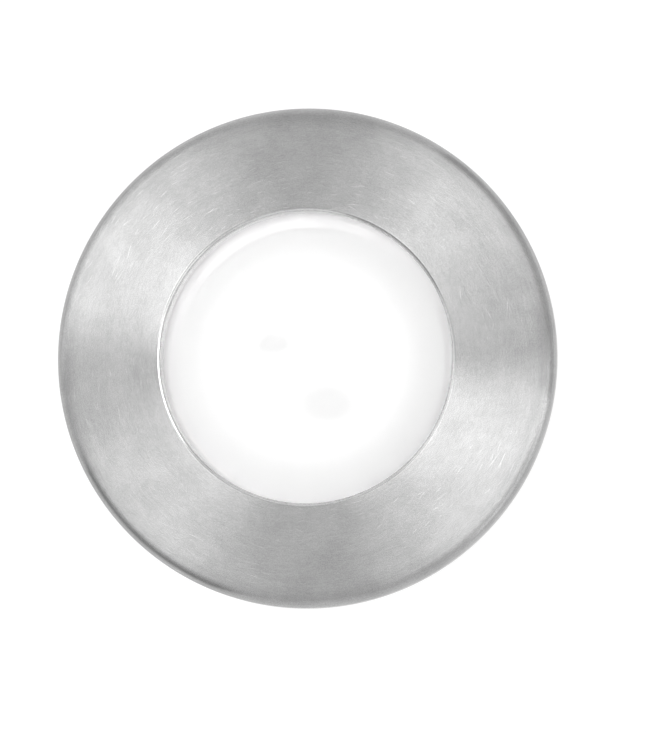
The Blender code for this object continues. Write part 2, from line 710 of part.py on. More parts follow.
def housing(carrier):
    black = material("housing_black", (0.035, 0.035, 0.037), 0.5)
    obj = turned("housing", housing_profile(), black, carrier)
    land_lip = (LAND_HEIGHT - GRIP_GROOVE_WIDTH) / 2
    fin_foot = HOUSING_FOOT + LAND_HEIGHT - land_lip / 2
    fin_height = HOUSING_SHOULDER - LAND_HEIGHT + land_lip / 2 - fin_foot
    fin_inside = HOUSING_RADIUS - FIN_DEPTH - FIN_ROOT
    fin_middle = (fin_inside + HOUSING_RADIUS - SEAT_GAP / 2) / 2
    fin_length = HOUSING_RADIUS - SEAT_GAP / 2 - fin_inside
    fin = box_mesh("fin", (fin_length, FIN_WIDTH, fin_height))
    for i in range(FIN_COUNT):
        angle = 360 * (i + 0.5) / FIN_COUNT
        place = at_angle(fin_middle, angle, fin_foot)
        join(obj, helper(f"fin_{i + 1}", fin, place, math.radians(angle)))
    path = helix(NECK_RADIUS + THREAD_INSET, NECK_THREAD_TURNS)
    ridge = curve_mesh("neck_thread", path, NECK_THREAD_RADIUS, 1)
    join(obj, helper("neck_thread", ridge, (0, 0, NECK_THREAD_START)))
    for i, place in enumerate(lead_places()):
        foot = SHELF_FOOT - OVERRUN
        drill(obj, f"shelf_lead_hole_{i + 1}", LEAD_HOLE_RADIUS, foot, SHELF_TOP + OVERRUN, place)
    for i, place in enumerate(board_screw_places()):
        foot = SHELF_TOP - BOARD_SCREW_BITE - SEAT_GAP
        radius = BOARD_SCREW_RADIUS + SEAT_GAP
        drill(obj, f"shelf_board_hole_{i + 1}", radius, foot, SHELF_TOP + OVERRUN, place)
    for i, place in enumerate(driver_screw_places()):
        top = SHELF_FOOT + BOARD_SCREW_BITE + SEAT_GAP
        radius = BOARD_SCREW_RADIUS + SEAT_GAP
        drill(obj, f"shelf_driver_hole_{i + 1}", radius, SHELF_FOOT - OVERRUN, top, place)
    for i, place in enumerate(base_screw_places()):
        top = HOUSING_FOOT + BASE_SCREW_BITE + SEAT_GAP
        radius = BASE_SCREW_RADIUS + SEAT_GAP
        drill(obj, f"base_screw_hole_{i + 1}", radius, HOUSING_FOOT - OVERRUN, top, place)
    return obj


def grip_rings(carrier):
    rubber = material("black_rubber", (0.02, 0.02, 0.02), 0.75)
    heights = {
        "grip_ring_upper": HOUSING_SHOULDER - LAND_HEIGHT / 2 - GRIP_RING_CORD_RADIUS,
        "grip_ring_lower": HOUSING_FOOT + LAND_HEIGHT / 2 - GRIP_RING_CORD_RADIUS,
    }
    for name, height in heights.items():
        profile = round_cord(GRIP_RING_RADIUS, GRIP_RING_CORD_RADIUS)
        turned(name, profile, rubber, carrier, (0, 0, height))


# The driver board and its components
def driver_screw_places():
    return [at_angle(DRIVER_SCREW_CIRCLE_RADIUS, angle) for angle in DRIVER_SCREW_DEGREES]


def component_place(share, degrees, height=0.0):
    return at_angle(DRIVER_BOARD_RADIUS * share, degrees, height)


def driver_board(carrier):
    green = material("board_green", (0.02, 0.16, 0.07), 0.4)
    disc = cylinder_mesh("driver_board", DRIVER_BOARD_RADIUS, DRIVER_BOARD_THICKNESS, BODY_STEPS)
    board = piece("driver_board", disc, green, carrier, (0, 0, DRIVER_BOARD_FOOT))
    foot = DRIVER_BOARD_FOOT - OVERRUN
    top = DRIVER_BOARD_FOOT + DRIVER_BOARD_THICKNESS + OVERRUN
    for i, place in enumerate(driver_screw_places()):
        drill(board, f"driver_hole_{i + 1}", BOARD_SCREW_RADIUS + SEAT_GAP, foot, top, place)
    return board


def driver_fixings(carrier):
    nylon = material("nylon", (0.80, 0.80, 0.77), 0.45)
    steel = material("screw_steel", (0.6, 0.6, 0.6), 0.3, 1.0)
    bore = BOARD_SCREW_RADIUS + SPACER_BORE_CLEARANCE
    seat = COMPONENT_TOP
    length = SHELF_FOOT + BOARD_SCREW_BITE - seat
    for i, place in enumerate(driver_screw_places()):
        profile = band(bore, SPACER_RADIUS, 0, SPACER_HEIGHT)
        spot = (place.x, place.y, SPACER_FOOT)
        turned(f"driver_spacer_{i + 1}", profile, nylon, carrier, spot, SMALL_STEPS)
        pan_screw(
            f"driver_screw_{i + 1}",
            BOARD_SCREW_RADIUS,
            length,
            BOARD_SCREW_HEAD_RADIUS,
            BOARD_SCREW_HEAD_HEIGHT,
            steel,
            carrier,
            (place.x, place.y, seat),
            upwards=True,
        )


def capacitor(name, radius, height, place, carrier):
    """An aluminium can hanging from the board, crimped near the board."""
    sleeve_blue = material("capacitor_blue", (0.03, 0.05, 0.16), 0.35)
    upper, waist, lower = (height - radius * share for share in CAPACITOR_CRIMP_SHARES)
    profile = [
        (0, height),
        (radius, height),
        (radius, upper),
        (radius - CAPACITOR_CRIMP, waist),
        (radius, lower),
        (radius, CAPACITOR_CRIMP),
        (radius - CAPACITOR_CRIMP, 0),
        (0, 0),
    ]
    spot = (place.x, place.y, COMPONENT_TOP - height)
    turned(name, profile, sleeve_blue, carrier, spot, SMALL_STEPS)


def inductor(carrier):
    ferrite = material("ferrite", (0.06, 0.06, 0.065), 0.6)
    copper = material("copper", (0.75, 0.33, 0.16), 0.3, 1.0)
    foot = COMPONENT_TOP - INDUCTOR_HEIGHT
    place = component_place(INDUCTOR_PLACE_SHARE, INDUCTOR_DEGREES, foot)
    profile = [
        (0, INDUCTOR_HEIGHT),
        (INDUCTOR_RADIUS, INDUCTOR_HEIGHT),
        (INDUCTOR_RADIUS, INDUCTOR_HEIGHT - INDUCTOR_FLANGE),
        (INDUCTOR_CORE_RADIUS, INDUCTOR_HEIGHT - INDUCTOR_FLANGE),
        (INDUCTOR_CORE_RADIUS, INDUCTOR_FLANGE),
        (INDUCTOR_RADIUS, INDUCTOR_FLANGE),
        (INDUCTOR_RADIUS, 0),
        (0, 0),
    ]
    turned("inductor_core", profile, ferrite, carrier, place, SMALL_STEPS)
    inner = INDUCTOR_CORE_RADIUS + SEAT_GAP
    outer = INDUCTOR_RADIUS - WINDING_SETBACK
    setback = INDUCTOR_FLANGE + SEAT_GAP
    winding = band(inner, outer, setback, INDUCTOR_HEIGHT - setback)
    turned("inductor_winding", winding, copper, carrier, place, SMALL_STEPS)


def block(name, size, finish, place, turn, carrier):
    mesh = box_mesh(name, size)
    spot = (place.x, place.y, COMPONENT_TOP - size[2])
    obj = piece(name, mesh, finish, carrier, spot, math.radians(turn))
    bevel(obj, COMPONENT_BEVEL)
    return obj


def terminal_block(carrier):
    """Two ways for the supply, open to the board's edge, with their clamp screws from below."""
    green = material("terminal_green", (0.05, 0.30, 0.12), 0.45)
    steel = material("screw_steel", (0.6, 0.6, 0.6), 0.3, 1.0)
    place = at_angle(DRIVER_BOARD_RADIUS - TERMINAL_SIZE[1] * TERMINAL_SETBACK_SHARE, 180)
    terminal = block("terminal_block", TERMINAL_SIZE, green, place, 90, carrier)
    foot = COMPONENT_TOP - TERMINAL_SIZE[2]
    for i, side in enumerate((-1, 1)):
        across = side * TERMINAL_WAY_SPACING / 2
        way = box_mesh("way", (TERMINAL_SIZE[1], TERMINAL_WAY_SIDE, TERMINAL_WAY_SIDE))
        reach = place.x - TERMINAL_SIZE[1] / 2
        height = foot + TERMINAL_SIZE[2] / 2
        cut(terminal, helper(f"terminal_way_{i + 1}", way, (reach, across, height)))
        radius = TERMINAL_SCREW_RADIUS + SEAT_GAP
        top = foot + TERMINAL_SCREW_HEIGHT + SEAT_GAP
        drill(terminal, f"terminal_well_{i + 1}", radius, foot - OVERRUN, top, (place.x, across))
        screw = cylinder_mesh("terminal_screw", TERMINAL_SCREW_RADIUS, TERMINAL_SCREW_HEIGHT)
        spot = (place.x, across, foot)
        piece(f"terminal_screw_{i + 1}", screw, steel, carrier, spot)


def driver_components(carrier):
    black = material("component_black", (0.03, 0.03, 0.03), 0.5)
    place = component_place(CAPACITOR_PLACE_SHARE, CAPACITOR_DEGREES)
    capacitor("capacitor_large", CAPACITOR_RADIUS, CAPACITOR_HEIGHT, place, carrier)
    place = component_place(SMALL_CAPACITOR_PLACE_SHARE, SMALL_CAPACITOR_DEGREES)
    capacitor("capacitor_small", SMALL_CAPACITOR_RADIUS, SMALL_CAPACITOR_HEIGHT, place, carrier)
    inductor(carrier)
    place = component_place(RECTIFIER_PLACE_SHARE, RECTIFIER_DEGREES)
    block("rectifier", RECTIFIER_SIZE, black, place, 0, carrier)
    place = component_place(CHIP_PLACE_SHARE, CHIP_DEGREES)
    block("driver_chip", CHIP_SIZE, black, place, 0, carrier)
    terminal_block(carrier)


# The base cap, its seal, screws and vent
def base_screw_places():
    step = 360 / BASE_SCREW_COUNT
    return [at_angle(BASE_SCREW_CIRCLE_RADIUS, step * (i + 0.5)) for i in range(BASE_SCREW_COUNT)]


def vent_place():
    return at_angle(VENT_CIRCLE_RADIUS, VENT_DEGREES)


def base_cap(carrier):
    black = material("housing_black", (0.035, 0.035, 0.037), 0.5)
    spigot_top = CAP_THICKNESS + SPIGOT_HEIGHT
    seal_middle = CAP_THICKNESS + SPIGOT_HEIGHT / 2
    half_groove = BASE_SEAL_CORD_RADIUS + SEAT_GAP
    groove = CHAMBER_RADIUS - SEAT_GAP * 2 - BASE_SEAL_CORD_RADIUS * 2
    profile = [
        (SPIGOT_BORE, spigot_top),
        (SPIGOT_RADIUS, spigot_top),
        (SPIGOT_RADIUS, seal_middle + half_groove),
        (groove, seal_middle + half_groove),
        (groove, seal_middle - half_groove),
        (SPIGOT_RADIUS, seal_middle - half_groove),
        (SPIGOT_RADIUS, CAP_THICKNESS),
        (HOUSING_RADIUS, CAP_THICKNESS),
        (HOUSING_RADIUS, 0),
        (GLAND_HOLE_RADIUS, 0),
        (GLAND_HOLE_RADIUS, CAP_THICKNESS),
        (SPIGOT_BORE, CAP_THICKNESS),
    ]
    cap = turned("base_cap", profile, black, carrier, (0, 0, CAP_FOOT))
    foot = CAP_FOOT - OVERRUN
    top = CAP_TOP + OVERRUN
    for i, place in enumerate(base_screw_places()):
        drill(cap, f"cap_screw_hole_{i + 1}", BASE_SCREW_RADIUS + SEAT_GAP, foot, top, place)
    drill(cap, "vent_hole", VENT_STEM_RADIUS + SEAT_GAP, foot, top, vent_place())
    return cap


def base_seal(carrier):
    rubber = material("black_rubber", (0.02, 0.02, 0.02), 0.75)
    radius = CHAMBER_RADIUS - SEAT_GAP - BASE_SEAL_CORD_RADIUS
    foot = CAP_TOP + SPIGOT_HEIGHT / 2 - BASE_SEAL_CORD_RADIUS
    profile = round_cord(radius, BASE_SEAL_CORD_RADIUS)
    return turned("base_seal", profile, rubber, carrier, (0, 0, foot))


def base_screws(carrier):
    steel = material("screw_steel", (0.6, 0.6, 0.6), 0.3, 1.0)
    seat = CAP_FOOT - SEAT_GAP
    length = HOUSING_FOOT + BASE_SCREW_BITE - seat
    for i, place in enumerate(base_screw_places()):
        pan_screw(
            f"base_screw_{i + 1}",
            BASE_SCREW_RADIUS,
            length,
            BASE_SCREW_HEAD_RADIUS,
            BASE_SCREW_HEAD_HEIGHT,
            steel,
            carrier,
            (place.x, place.y, seat),
            upwards=True,
        )


def breather_plug(carrier):
    grey = material("vent_grey", (0.25, 0.25, 0.26), 0.55)
    place = vent_place()
    stem = CAP_THICKNESS + SEAT_GAP
    points = [
        (0, stem),
        (VENT_STEM_RADIUS, stem),
        (VENT_STEM_RADIUS, 0),
        (VENT_HEAD_RADIUS, 0),
        (VENT_HEAD_RADIUS, -VENT_HEAD_HEIGHT * VENT_HEAD_SIDE_SHARE),
        (VENT_HEAD_RADIUS * VENT_HEAD_FLAT_SHARE, -VENT_HEAD_HEIGHT),
        (0, -VENT_HEAD_HEIGHT),
    ]
    spot = (place.x, place.y, CAP_FOOT - SEAT_GAP)
    return turned("breather_plug", points, grey, carrier, spot, SMALL_STEPS)


# The cable gland
def gland_body(carrier):
    nylon = material("gland_black", (0.03, 0.03, 0.03), 0.5)
    neck_top = CAP_TOP + SEAT_GAP + LOCKNUT_HEIGHT
    seat_foot = GLAND_STUB_FOOT
    seat_radius = GLAND_SEAL_RADIUS + SEAT_GAP
    seat_top = seat_foot + GLAND_SEAL_LENGTH + SEAT_GAP
    profile = [
        (CABLE_BORE_RADIUS, neck_top),
        (GLAND_NECK_RADIUS, neck_top),
        (GLAND_NECK_RADIUS, seat_foot),
        (seat_radius, seat_foot),
        (seat_radius, seat_top),
        (CABLE_BORE_RADIUS, seat_top),
    ]
    gland = turned("gland_body", profile, nylon, carrier, steps=SMALL_STEPS)
    corner = GLAND_FLANGE_ACROSS / math.cos(math.pi / HEXAGON)
    flange = cylinder_mesh("gland_flange", corner, GLAND_FLANGE_HEIGHT, HEXAGON)
    collar = helper("gland_flange", flange, (0, 0, GLAND_FLANGE_FOOT))
    bore_radius = (GLAND_NECK_RADIUS + CABLE_BORE_RADIUS) / 2
    top = GLAND_FLANGE_TOP + OVERRUN
    drill(collar, "gland_flange_bore", bore_radius, GLAND_FLANGE_FOOT - OVERRUN, top)
    join(gland, collar)
    return gland


def gland_washer(carrier):
    rubber = material("black_rubber", (0.02, 0.02, 0.02), 0.75)
    profile = band(GLAND_HOLE_RADIUS, GLAND_WASHER_RADIUS, 0, GLAND_WASHER_THICKNESS)
    place = (0, 0, GLAND_FLANGE_TOP + SEAT_GAP)
    return turned("gland_washer", profile, rubber, carrier, place, SMALL_STEPS)


def gland_locknut(carrier):
    nylon = material("gland_black", (0.03, 0.03, 0.03), 0.5)
    corner = LOCKNUT_ACROSS / math.cos(math.pi / HEXAGON)
    mesh = cylinder_mesh("gland_locknut", corner, LOCKNUT_HEIGHT, HEXAGON)
    foot = CAP_TOP + SEAT_GAP
    nut = piece("gland_locknut", mesh, nylon, carrier, (0, 0, foot))
    top = foot + LOCKNUT_HEIGHT + OVERRUN
    drill(nut, "locknut_bore", GLAND_HOLE_RADIUS, foot - OVERRUN, top)
    return nut


def gland_seal(carrier):
    rubber = material("black_rubber", (0.02, 0.02, 0.02), 0.75)
    profile = band(GLAND_SEAL_BORE_RADIUS, GLAND_SEAL_RADIUS, 0, GLAND_SEAL_LENGTH)
    return turned("gland_seal", profile, rubber, carrier, (0, 0, GLAND_STUB_FOOT), SMALL_STEPS)


def gland_nut(carrier):
    """The dome nut: it screws up over the stub and squeezes the seal on the cable."""
    nylon = material("gland_black", (0.03, 0.03, 0.03), 0.5)
    top = GLAND_FLANGE_FOOT - SEAT_GAP
    foot = top - GLAND_NUT_HEIGHT
    crown = GLAND_NUT_RADIUS - GLAND_NUT_DOME
    floor = GLAND_STUB_FOOT - SEAT_GAP
    profile = [(GLAND_HOLE_RADIUS, top), (GLAND_NUT_RADIUS, top)]
    profile += arc((crown, foot + GLAND_NUT_DOME), (GLAND_NUT_DOME, GLAND_NUT_DOME), 0, -90, BEVEL_STEPS)
    profile += [(CABLE_BORE_RADIUS, foot), (CABLE_BORE_RADIUS, floor), (GLAND_HOLE_RADIUS, floor)]
    return turned("gland_nut", profile, nylon, carrier, steps=GLAND_NUT_FLATS * 2)


def shade_pieces():
    """Takes each piece's finished mesh, round where it is round and crisp at its edges."""
    graph = bpy.context.evaluated_depsgraph_get()
    finished = {}
    for obj in parts.objects:
        if obj.type == "MESH":
            finished[obj] = bpy.data.meshes.new_from_object(obj.evaluated_get(graph))
    for obj, mesh in finished.items():
        obj.modifiers.clear()
        obj.data = mesh
        mesh.shade_smooth()
        mesh.set_sharp_from_angle(angle=SHARP_EDGE)


clear_scene()
light = body("light_unit")
washer_body = body("ring_rise")
ring_body = body("ring_turn")
washer_body.parent = light
ring_body.parent = washer_body
burial_sleeve()
housing(light)
grip_rings(light)
lens(light)
lens_gasket(light)
diffuser(light)
reflector(light)
light_board(light)
emitters(light)
thermal_pad(light)
board_screws(light)
leads(light)
driver_board(light)
driver_fixings(light)
driver_components(light)
base_cap(light)
base_seal(light)
base_screws(light)
breather_plug(light)
gland_body(light)
gland_washer(light)
gland_locknut(light)
gland_seal(light)
gland_nut(light)
slip_washer(washer_body)
face_ring(ring_body)
shade_pieces()
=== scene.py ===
import math

import bmesh
import bpy
from mathutils import Matrix, Vector


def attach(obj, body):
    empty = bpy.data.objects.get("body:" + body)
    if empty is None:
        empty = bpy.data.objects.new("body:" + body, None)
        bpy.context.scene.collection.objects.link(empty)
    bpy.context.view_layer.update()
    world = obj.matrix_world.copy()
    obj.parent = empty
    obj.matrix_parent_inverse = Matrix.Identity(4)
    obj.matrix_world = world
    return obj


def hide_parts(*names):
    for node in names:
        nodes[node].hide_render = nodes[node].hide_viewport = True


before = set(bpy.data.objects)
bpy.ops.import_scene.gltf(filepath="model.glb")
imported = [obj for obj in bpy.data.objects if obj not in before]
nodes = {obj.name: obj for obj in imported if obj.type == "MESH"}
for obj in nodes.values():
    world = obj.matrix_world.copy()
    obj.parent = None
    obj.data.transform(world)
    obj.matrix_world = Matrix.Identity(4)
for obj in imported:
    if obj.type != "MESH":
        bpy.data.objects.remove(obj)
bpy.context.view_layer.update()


# --- Burial sleeve ---------------------------------------------------------------------
# Injection moulded glass-filled nylon, left in the ground for good. Matt black skin with a
# fine spark-eroded grain; the cable comes in through a notch in its foot. Lengths here and
# below are in metres.

SLEEVE_TOP = 0.064
SLEEVE_BORE = 0.0274
SLEEVE_RADIUS = 0.0292
SLEEVE_RIM = 0.0327
SLEEVE_RIM_FOOT = 0.0624
SLEEVE_FLOOR = 0.0024
SLEEVE_DRAIN = 0.0205
SLEEVE_RIBS = 6
SLEEVE_RIB_WIDTH = 0.0022
SLEEVE_RIB_FLANK = 0.0003
SLEEVE_RIB_PROUD = 0.0007
SLEEVE_RIB_FOOT = 0.016
SLEEVE_EDGE = 0.0003
SLEEVE_FILLET = 0.0012
NOTCH_WIDTH = 0.012
NOTCH_HEIGHT = 0.013
NOTCH_CORNER = 0.002
SLEEVE_BLACK = (0.026, 0.026, 0.028)
SLEEVE_ROUGHNESS = 0.62

TURN_STEPS = 256
RIBBED_STEPS = 432
EDGE_STEPS = 4
CORNER_STEPS = 5
FILLET_STEPS = 6
SOFT_DEGREES = 32.0
NOISE_WIDE = (0.3, 0.7)
NOISE_NARROW = (0.35, 0.65)
CLOUD_SCALE = 260.0
CLOUD_DETAIL = 4.0
CLOUD_GLOSS = 0.12
GRAIN_DETAIL = 2.0
GRAIN_STRENGTH = 0.4


def paint(name, colour=(0.5, 0.5, 0.5), roughness=0.5, metallic=0.0):
    """A new material: itself, its node tree and its shader, ready for more nodes."""
    made = bpy.data.materials.new(name)
    made.use_nodes = True
    shader = made.node_tree.nodes["Principled BSDF"]
    shader.inputs["Base Color"].default_value = (*colour, 1)
    shader.inputs["Roughness"].default_value = roughness
    shader.inputs["Metallic"].default_value = metallic
    return made, made.node_tree, shader


def add(tree, kind, **settings):
    """One node of that kind, with its settings."""
    made = tree.nodes.new("ShaderNode" + kind)
    for name, value in settings.items():
        setattr(made, name, value)
    return made


def mix_colours(tree, factor, first, second):
    """The colour that lies by the factor between two others."""
    made = add(tree, "Mix", data_type="RGBA")
    tree.links.new(factor, made.inputs["Factor"])
    colours = [socket for socket in made.inputs if socket.type == "RGBA"]
    for socket, value in zip(colours, (first, second)):
        socket.default_value = (*value, 1)
    return next(socket for socket in made.outputs if socket.type == "RGBA")


def noise(tree, scale, detail=3.0, vector=None):
    """Noise from 0 to 1, in the object's own space unless a vector is given."""
    made = add(tree, "TexNoise")
    made.inputs["Scale"].default_value = scale
    made.inputs["Detail"].default_value = detail
    if vector is None:
        vector = add(tree, "TexCoord").outputs["Object"]
    tree.links.new(vector, made.inputs["Vector"])
    return made.outputs["Fac"]


def spread(tree, value, low, high, to_low=0.0, to_high=1.0, smooth=True):
    """Maps low..high of a value to to_low..to_high."""
    made = add(tree, "MapRange", interpolation_type="SMOOTHSTEP" if smooth else "LINEAR")
    tree.links.new(value, made.inputs["Value"])
    made.inputs["From Min"].default_value = low
    made.inputs["From Max"].default_value = high
    made.inputs["To Min"].default_value = to_low
    made.inputs["To Max"].default_value = to_high
    return made.outputs["Result"]


def bump(tree, shader, height, strength, distance):
    """Roughens the surface by a height."""
    made = add(tree, "Bump")
    made.inputs["Strength"].default_value = strength
    made.inputs["Distance"].default_value = distance
    tree.links.new(height, made.inputs["Height"])
    tree.links.new(made.outputs["Normal"], shader.inputs["Normal"])


def grained(name, colour, roughness, metallic=0.0, grain=2500.0, depth=0.00003, shade=0.75):
    """A moulded, cast or plated skin: mottled colour, uneven gloss and a fine grain."""
    made, tree, shader = paint(name, colour, roughness, metallic)
    cloud = noise(tree, CLOUD_SCALE, CLOUD_DETAIL)
    dark = tuple(channel * shade for channel in colour)
    tone = mix_colours(tree, spread(tree, cloud, *NOISE_NARROW), dark, colour)
    tree.links.new(tone, shader.inputs["Base Color"])
    dull = min(1.0, roughness * (1 + CLOUD_GLOSS))
    gloss = spread(tree, cloud, *NOISE_WIDE, roughness * (1 - CLOUD_GLOSS), dull)
    tree.links.new(gloss, shader.inputs["Roughness"])
    bump(tree, shader, noise(tree, grain, GRAIN_DETAIL), GRAIN_STRENGTH, depth)
    return made


def arc(centre, radii, start, end, steps):
    """Points of an ellipse's arc, in degrees, both ends taken in."""
    points = []
    for i in range(steps + 1):
        angle = math.radians(start + (end - start) * i / steps)
        across = centre[0] + radii[0] * math.cos(angle)
        points.append((across, centre[1] + radii[1] * math.sin(angle)))
    return points


def object_of(name, form, soft):
    """An object of that form, smooth but for the edges sharper than soft degrees."""
    mesh = bpy.data.meshes.new(name)
    bmesh.ops.recalc_face_normals(form, faces=form.faces)
    form.to_mesh(mesh)
    form.free()
    mesh.shade_smooth()
    mesh.set_sharp_from_angle(angle=math.radians(soft))
    made = bpy.data.objects.new(name, mesh)
    bpy.context.scene.collection.objects.link(made)
    return made


def turned(name, section, steps=TURN_STEPS, soft=SOFT_DEGREES):
    """A closed body turned from its section's points: each a radius, which may be a function
    of the angle where the skin has ribs, fins or flats, and a height."""
    form = bmesh.new()
    rows = []
    for radius, height in section:
        if radius == 0:
            rows.append([form.verts.new((0, 0, height))])
            continue
        row = []
        for i in range(steps):
            angle = math.tau * i / steps
            reach = radius(angle) if callable(radius) else radius
            row.append(form.verts.new((reach * math.cos(angle), reach * math.sin(angle), height)))
        rows.append(row)
    for a, b in zip(rows, rows[1:] + rows[:1]):
        for i in range(steps):
            j = (i + 1) % steps
            corners = [a[i % len(a)], a[j % len(a)], b[j % len(b)], b[i % len(b)]]
            corners = list(dict.fromkeys(corners))
            if len(corners) > 2:
                form.faces.new(corners)
    return object_of(name, form, soft)


def comb(count, width, flank, low, high, first=0.0):
    """The radius at an angle round a skin with so many ribs: low between them, high on them."""
    def radius(angle):
        share = (angle - first) * count / math.tau
        away = abs(share - round(share)) * math.tau / count * low
        rise = min(1.0, max(0.0, (width / 2 - away) / flank + 0.5))
        return low + (high - low) * rise * rise * (3 - 2 * rise)
    return radius


def prism(name, outline, place, direction):
    """A bar whose end has the outline, from place along a direction."""
    form = bmesh.new()
    near = [form.verts.new(Vector(place) + Vector(point)) for point in outline]
    far = [form.verts.new(vert.co + Vector(direction)) for vert in near]
    form.faces.new(near)
    form.faces.new(far)
    for i in range(len(near)):
        j = (i + 1) % len(near)
        form.faces.new((near[i], near[j], far[j], far[i]))
    return object_of(name, form, SOFT_DEGREES)


def carve(thing, tools):
    """Takes the tools' shapes out of a piece and clears the tools away."""
    for tool in tools:
        step = thing.modifiers.new(tool.name, "BOOLEAN")
        step.object = tool
        step.operation = "DIFFERENCE"
        step.solver = "EXACT"
    graph = bpy.context.evaluated_depsgraph_get()
    mesh = bpy.data.meshes.new_from_object(thing.evaluated_get(graph))
    thing.modifiers.clear()
    thing.data = mesh
    mesh.shade_smooth()
    mesh.set_sharp_from_angle(angle=math.radians(SOFT_DEGREES))
    for tool in tools:
        bpy.data.objects.remove(tool)


def stand_for(made, node, body, material):
    """The piece takes the place of one CAD node and moves with its body."""
    made.data.materials.clear()
    made.data.materials.append(material)
    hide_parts(node)
    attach(made, body)


sleeve_black = grained("sleeve_black", SLEEVE_BLACK, SLEEVE_ROUGHNESS)
rib_crest = SLEEVE_RADIUS + SLEEVE_RIB_PROUD
sleeve_skin = comb(SLEEVE_RIBS, SLEEVE_RIB_WIDTH, SLEEVE_RIB_FLANK, SLEEVE_RADIUS, rib_crest)
rounding = (SLEEVE_EDGE, SLEEVE_EDGE)
rim_corner = SLEEVE_RIM - SLEEVE_EDGE
section = [(SLEEVE_BORE + SLEEVE_EDGE, SLEEVE_TOP)]
section += arc((rim_corner, SLEEVE_TOP - SLEEVE_EDGE), rounding, 90, 0, EDGE_STEPS)
section += arc((rim_corner, SLEEVE_RIM_FOOT + SLEEVE_EDGE), rounding, 0, -90, EDGE_STEPS)
section += [
    (sleeve_skin, SLEEVE_RIM_FOOT),
    (sleeve_skin, SLEEVE_RIB_FOOT + SLEEVE_RIB_PROUD),
    (SLEEVE_RADIUS, SLEEVE_RIB_FOOT),
    (SLEEVE_RADIUS, SLEEVE_EDGE),
    (SLEEVE_RADIUS - SLEEVE_EDGE, 0),
    (SLEEVE_DRAIN + SLEEVE_EDGE, 0),
    (SLEEVE_DRAIN, SLEEVE_EDGE),
    (SLEEVE_DRAIN, SLEEVE_FLOOR - SLEEVE_EDGE),
    (SLEEVE_DRAIN + SLEEVE_EDGE, SLEEVE_FLOOR),
]
rounding = (SLEEVE_FILLET, SLEEVE_FILLET)
fillet = (SLEEVE_BORE - SLEEVE_FILLET, SLEEVE_FLOOR + SLEEVE_FILLET)
section += arc(fillet, rounding, -90, 0, FILLET_STEPS)
section += [(SLEEVE_BORE, SLEEVE_TOP - SLEEVE_EDGE)]
sleeve = turned("sleeve_moulding", section, RIBBED_STEPS)

side = NOTCH_WIDTH / 2
rounding = (NOTCH_CORNER, NOTCH_CORNER)
corner = (side - NOTCH_CORNER, NOTCH_HEIGHT - NOTCH_CORNER)
outline = [(side, 0, -SLEEVE_FLOOR)]
outline += [(across, 0, up) for across, up in arc(corner, rounding, 0, 90, CORNER_STEPS)]
outline += [(-across, 0, up) for across, _, up in reversed(outline)]
notch = prism("cable_notch", outline, (0, SLEEVE_DRAIN - NOTCH_CORNER, 0), (0, NOTCH_WIDTH, 0))
carve(sleeve, [notch])
stand_for(sleeve, "burial_sleeve", "sleeve", sleeve_black)


# --- Housing and grip rings ------------------------------------------------------------
# Die-cast aluminium in a black powder coat with its orange-peel skin: a threaded neck, two
# lands with a groove each, and fins between them. A ring of rubber cord sits in each groove.

HOUSING_RADIUS = 0.0268
HOUSING_FOOT = 0.0227
HOUSING_SHOULDER = 0.0524
NECK_TOP = 0.0623
NECK_RADIUS = 0.0244
NECK_SEAT = 0.0236
NECK_LEDGE = 0.0565
CHAMBER_RADIUS = 0.0208
SHELF_TOP = 0.0457
SHELF_FOOT = 0.0427
LAND_HEIGHT = 0.0064
GROOVE_WIDTH = 0.0027
GROOVE_RADIUS = 0.0248
FINS = 18
FIN_WIDTH = 0.0024
FIN_FLANK = 0.0006
FIN_ROOT = 0.025
FIN_TIP = 0.02665
CAST_EDGE = 0.0003
THREAD_PITCH = 0.003
THREAD_STEPS = 96
THREAD_END_SHARE = 0.25
THREAD_RUN_OUT = 12
NECK_THREAD_RADIUS = 0.0245
NECK_THREAD_CORD = 0.00075
NECK_THREAD_FOOT = 0.0554
NECK_THREAD_TURNS = 2.0
CORD_SIDES = 20
GRIP_RADIUS = 0.0261
GRIP_CORD = 0.001
HOUSING_BLACK = (0.021, 0.021, 0.022)
HOUSING_ROUGHNESS = 0.42
HOUSING_GRAIN = 1400.0
HOUSING_GRAIN_DEPTH = 0.00006
RUBBER_BLACK = (0.018, 0.018, 0.018)
RUBBER_ROUGHNESS = 0.8
RUBBER_GRAIN = 3500.0
RUBBER_GRAIN_DEPTH = 0.00002


def thread_onto(thing, radius, cord, foot, turns, soft=SOFT_DEGREES):
    """Lays one rounded screw ridge on a wall, thinning out at both ends."""
    form = bmesh.new()
    form.from_mesh(thing.data)
    count = round(THREAD_STEPS * turns)
    rows = []
    for i in range(count + 1):
        share = i / count
        angle = math.tau * turns * share
        swell = THREAD_END_SHARE + THREAD_RUN_OUT * min(share, 1 - share) * turns / 2
        thick = cord * min(1.0, swell)
        row = []
        for j in range(CORD_SIDES):
            lean = math.tau * j / CORD_SIDES
            reach = radius + thick * math.cos(lean)
            height = foot + THREAD_PITCH * turns * share + thick * math.sin(lean)
            row.append(form.verts.new((reach * math.cos(angle), reach * math.sin(angle), height)))
        rows.append(row)
    for a, b in zip(rows, rows[1:]):
        for j in range(CORD_SIDES):
            k = (j + 1) % CORD_SIDES
            form.faces.new((a[j], a[k], b[k], b[j]))
    form.faces.new(rows[0])
    form.faces.new(rows[-1])
    bmesh.ops.recalc_face_normals(form, faces=form.faces)
    form.to_mesh(thing.data)
    form.free()
    thing.data.shade_smooth()
    thing.data.set_sharp_from_angle(angle=math.radians(soft))


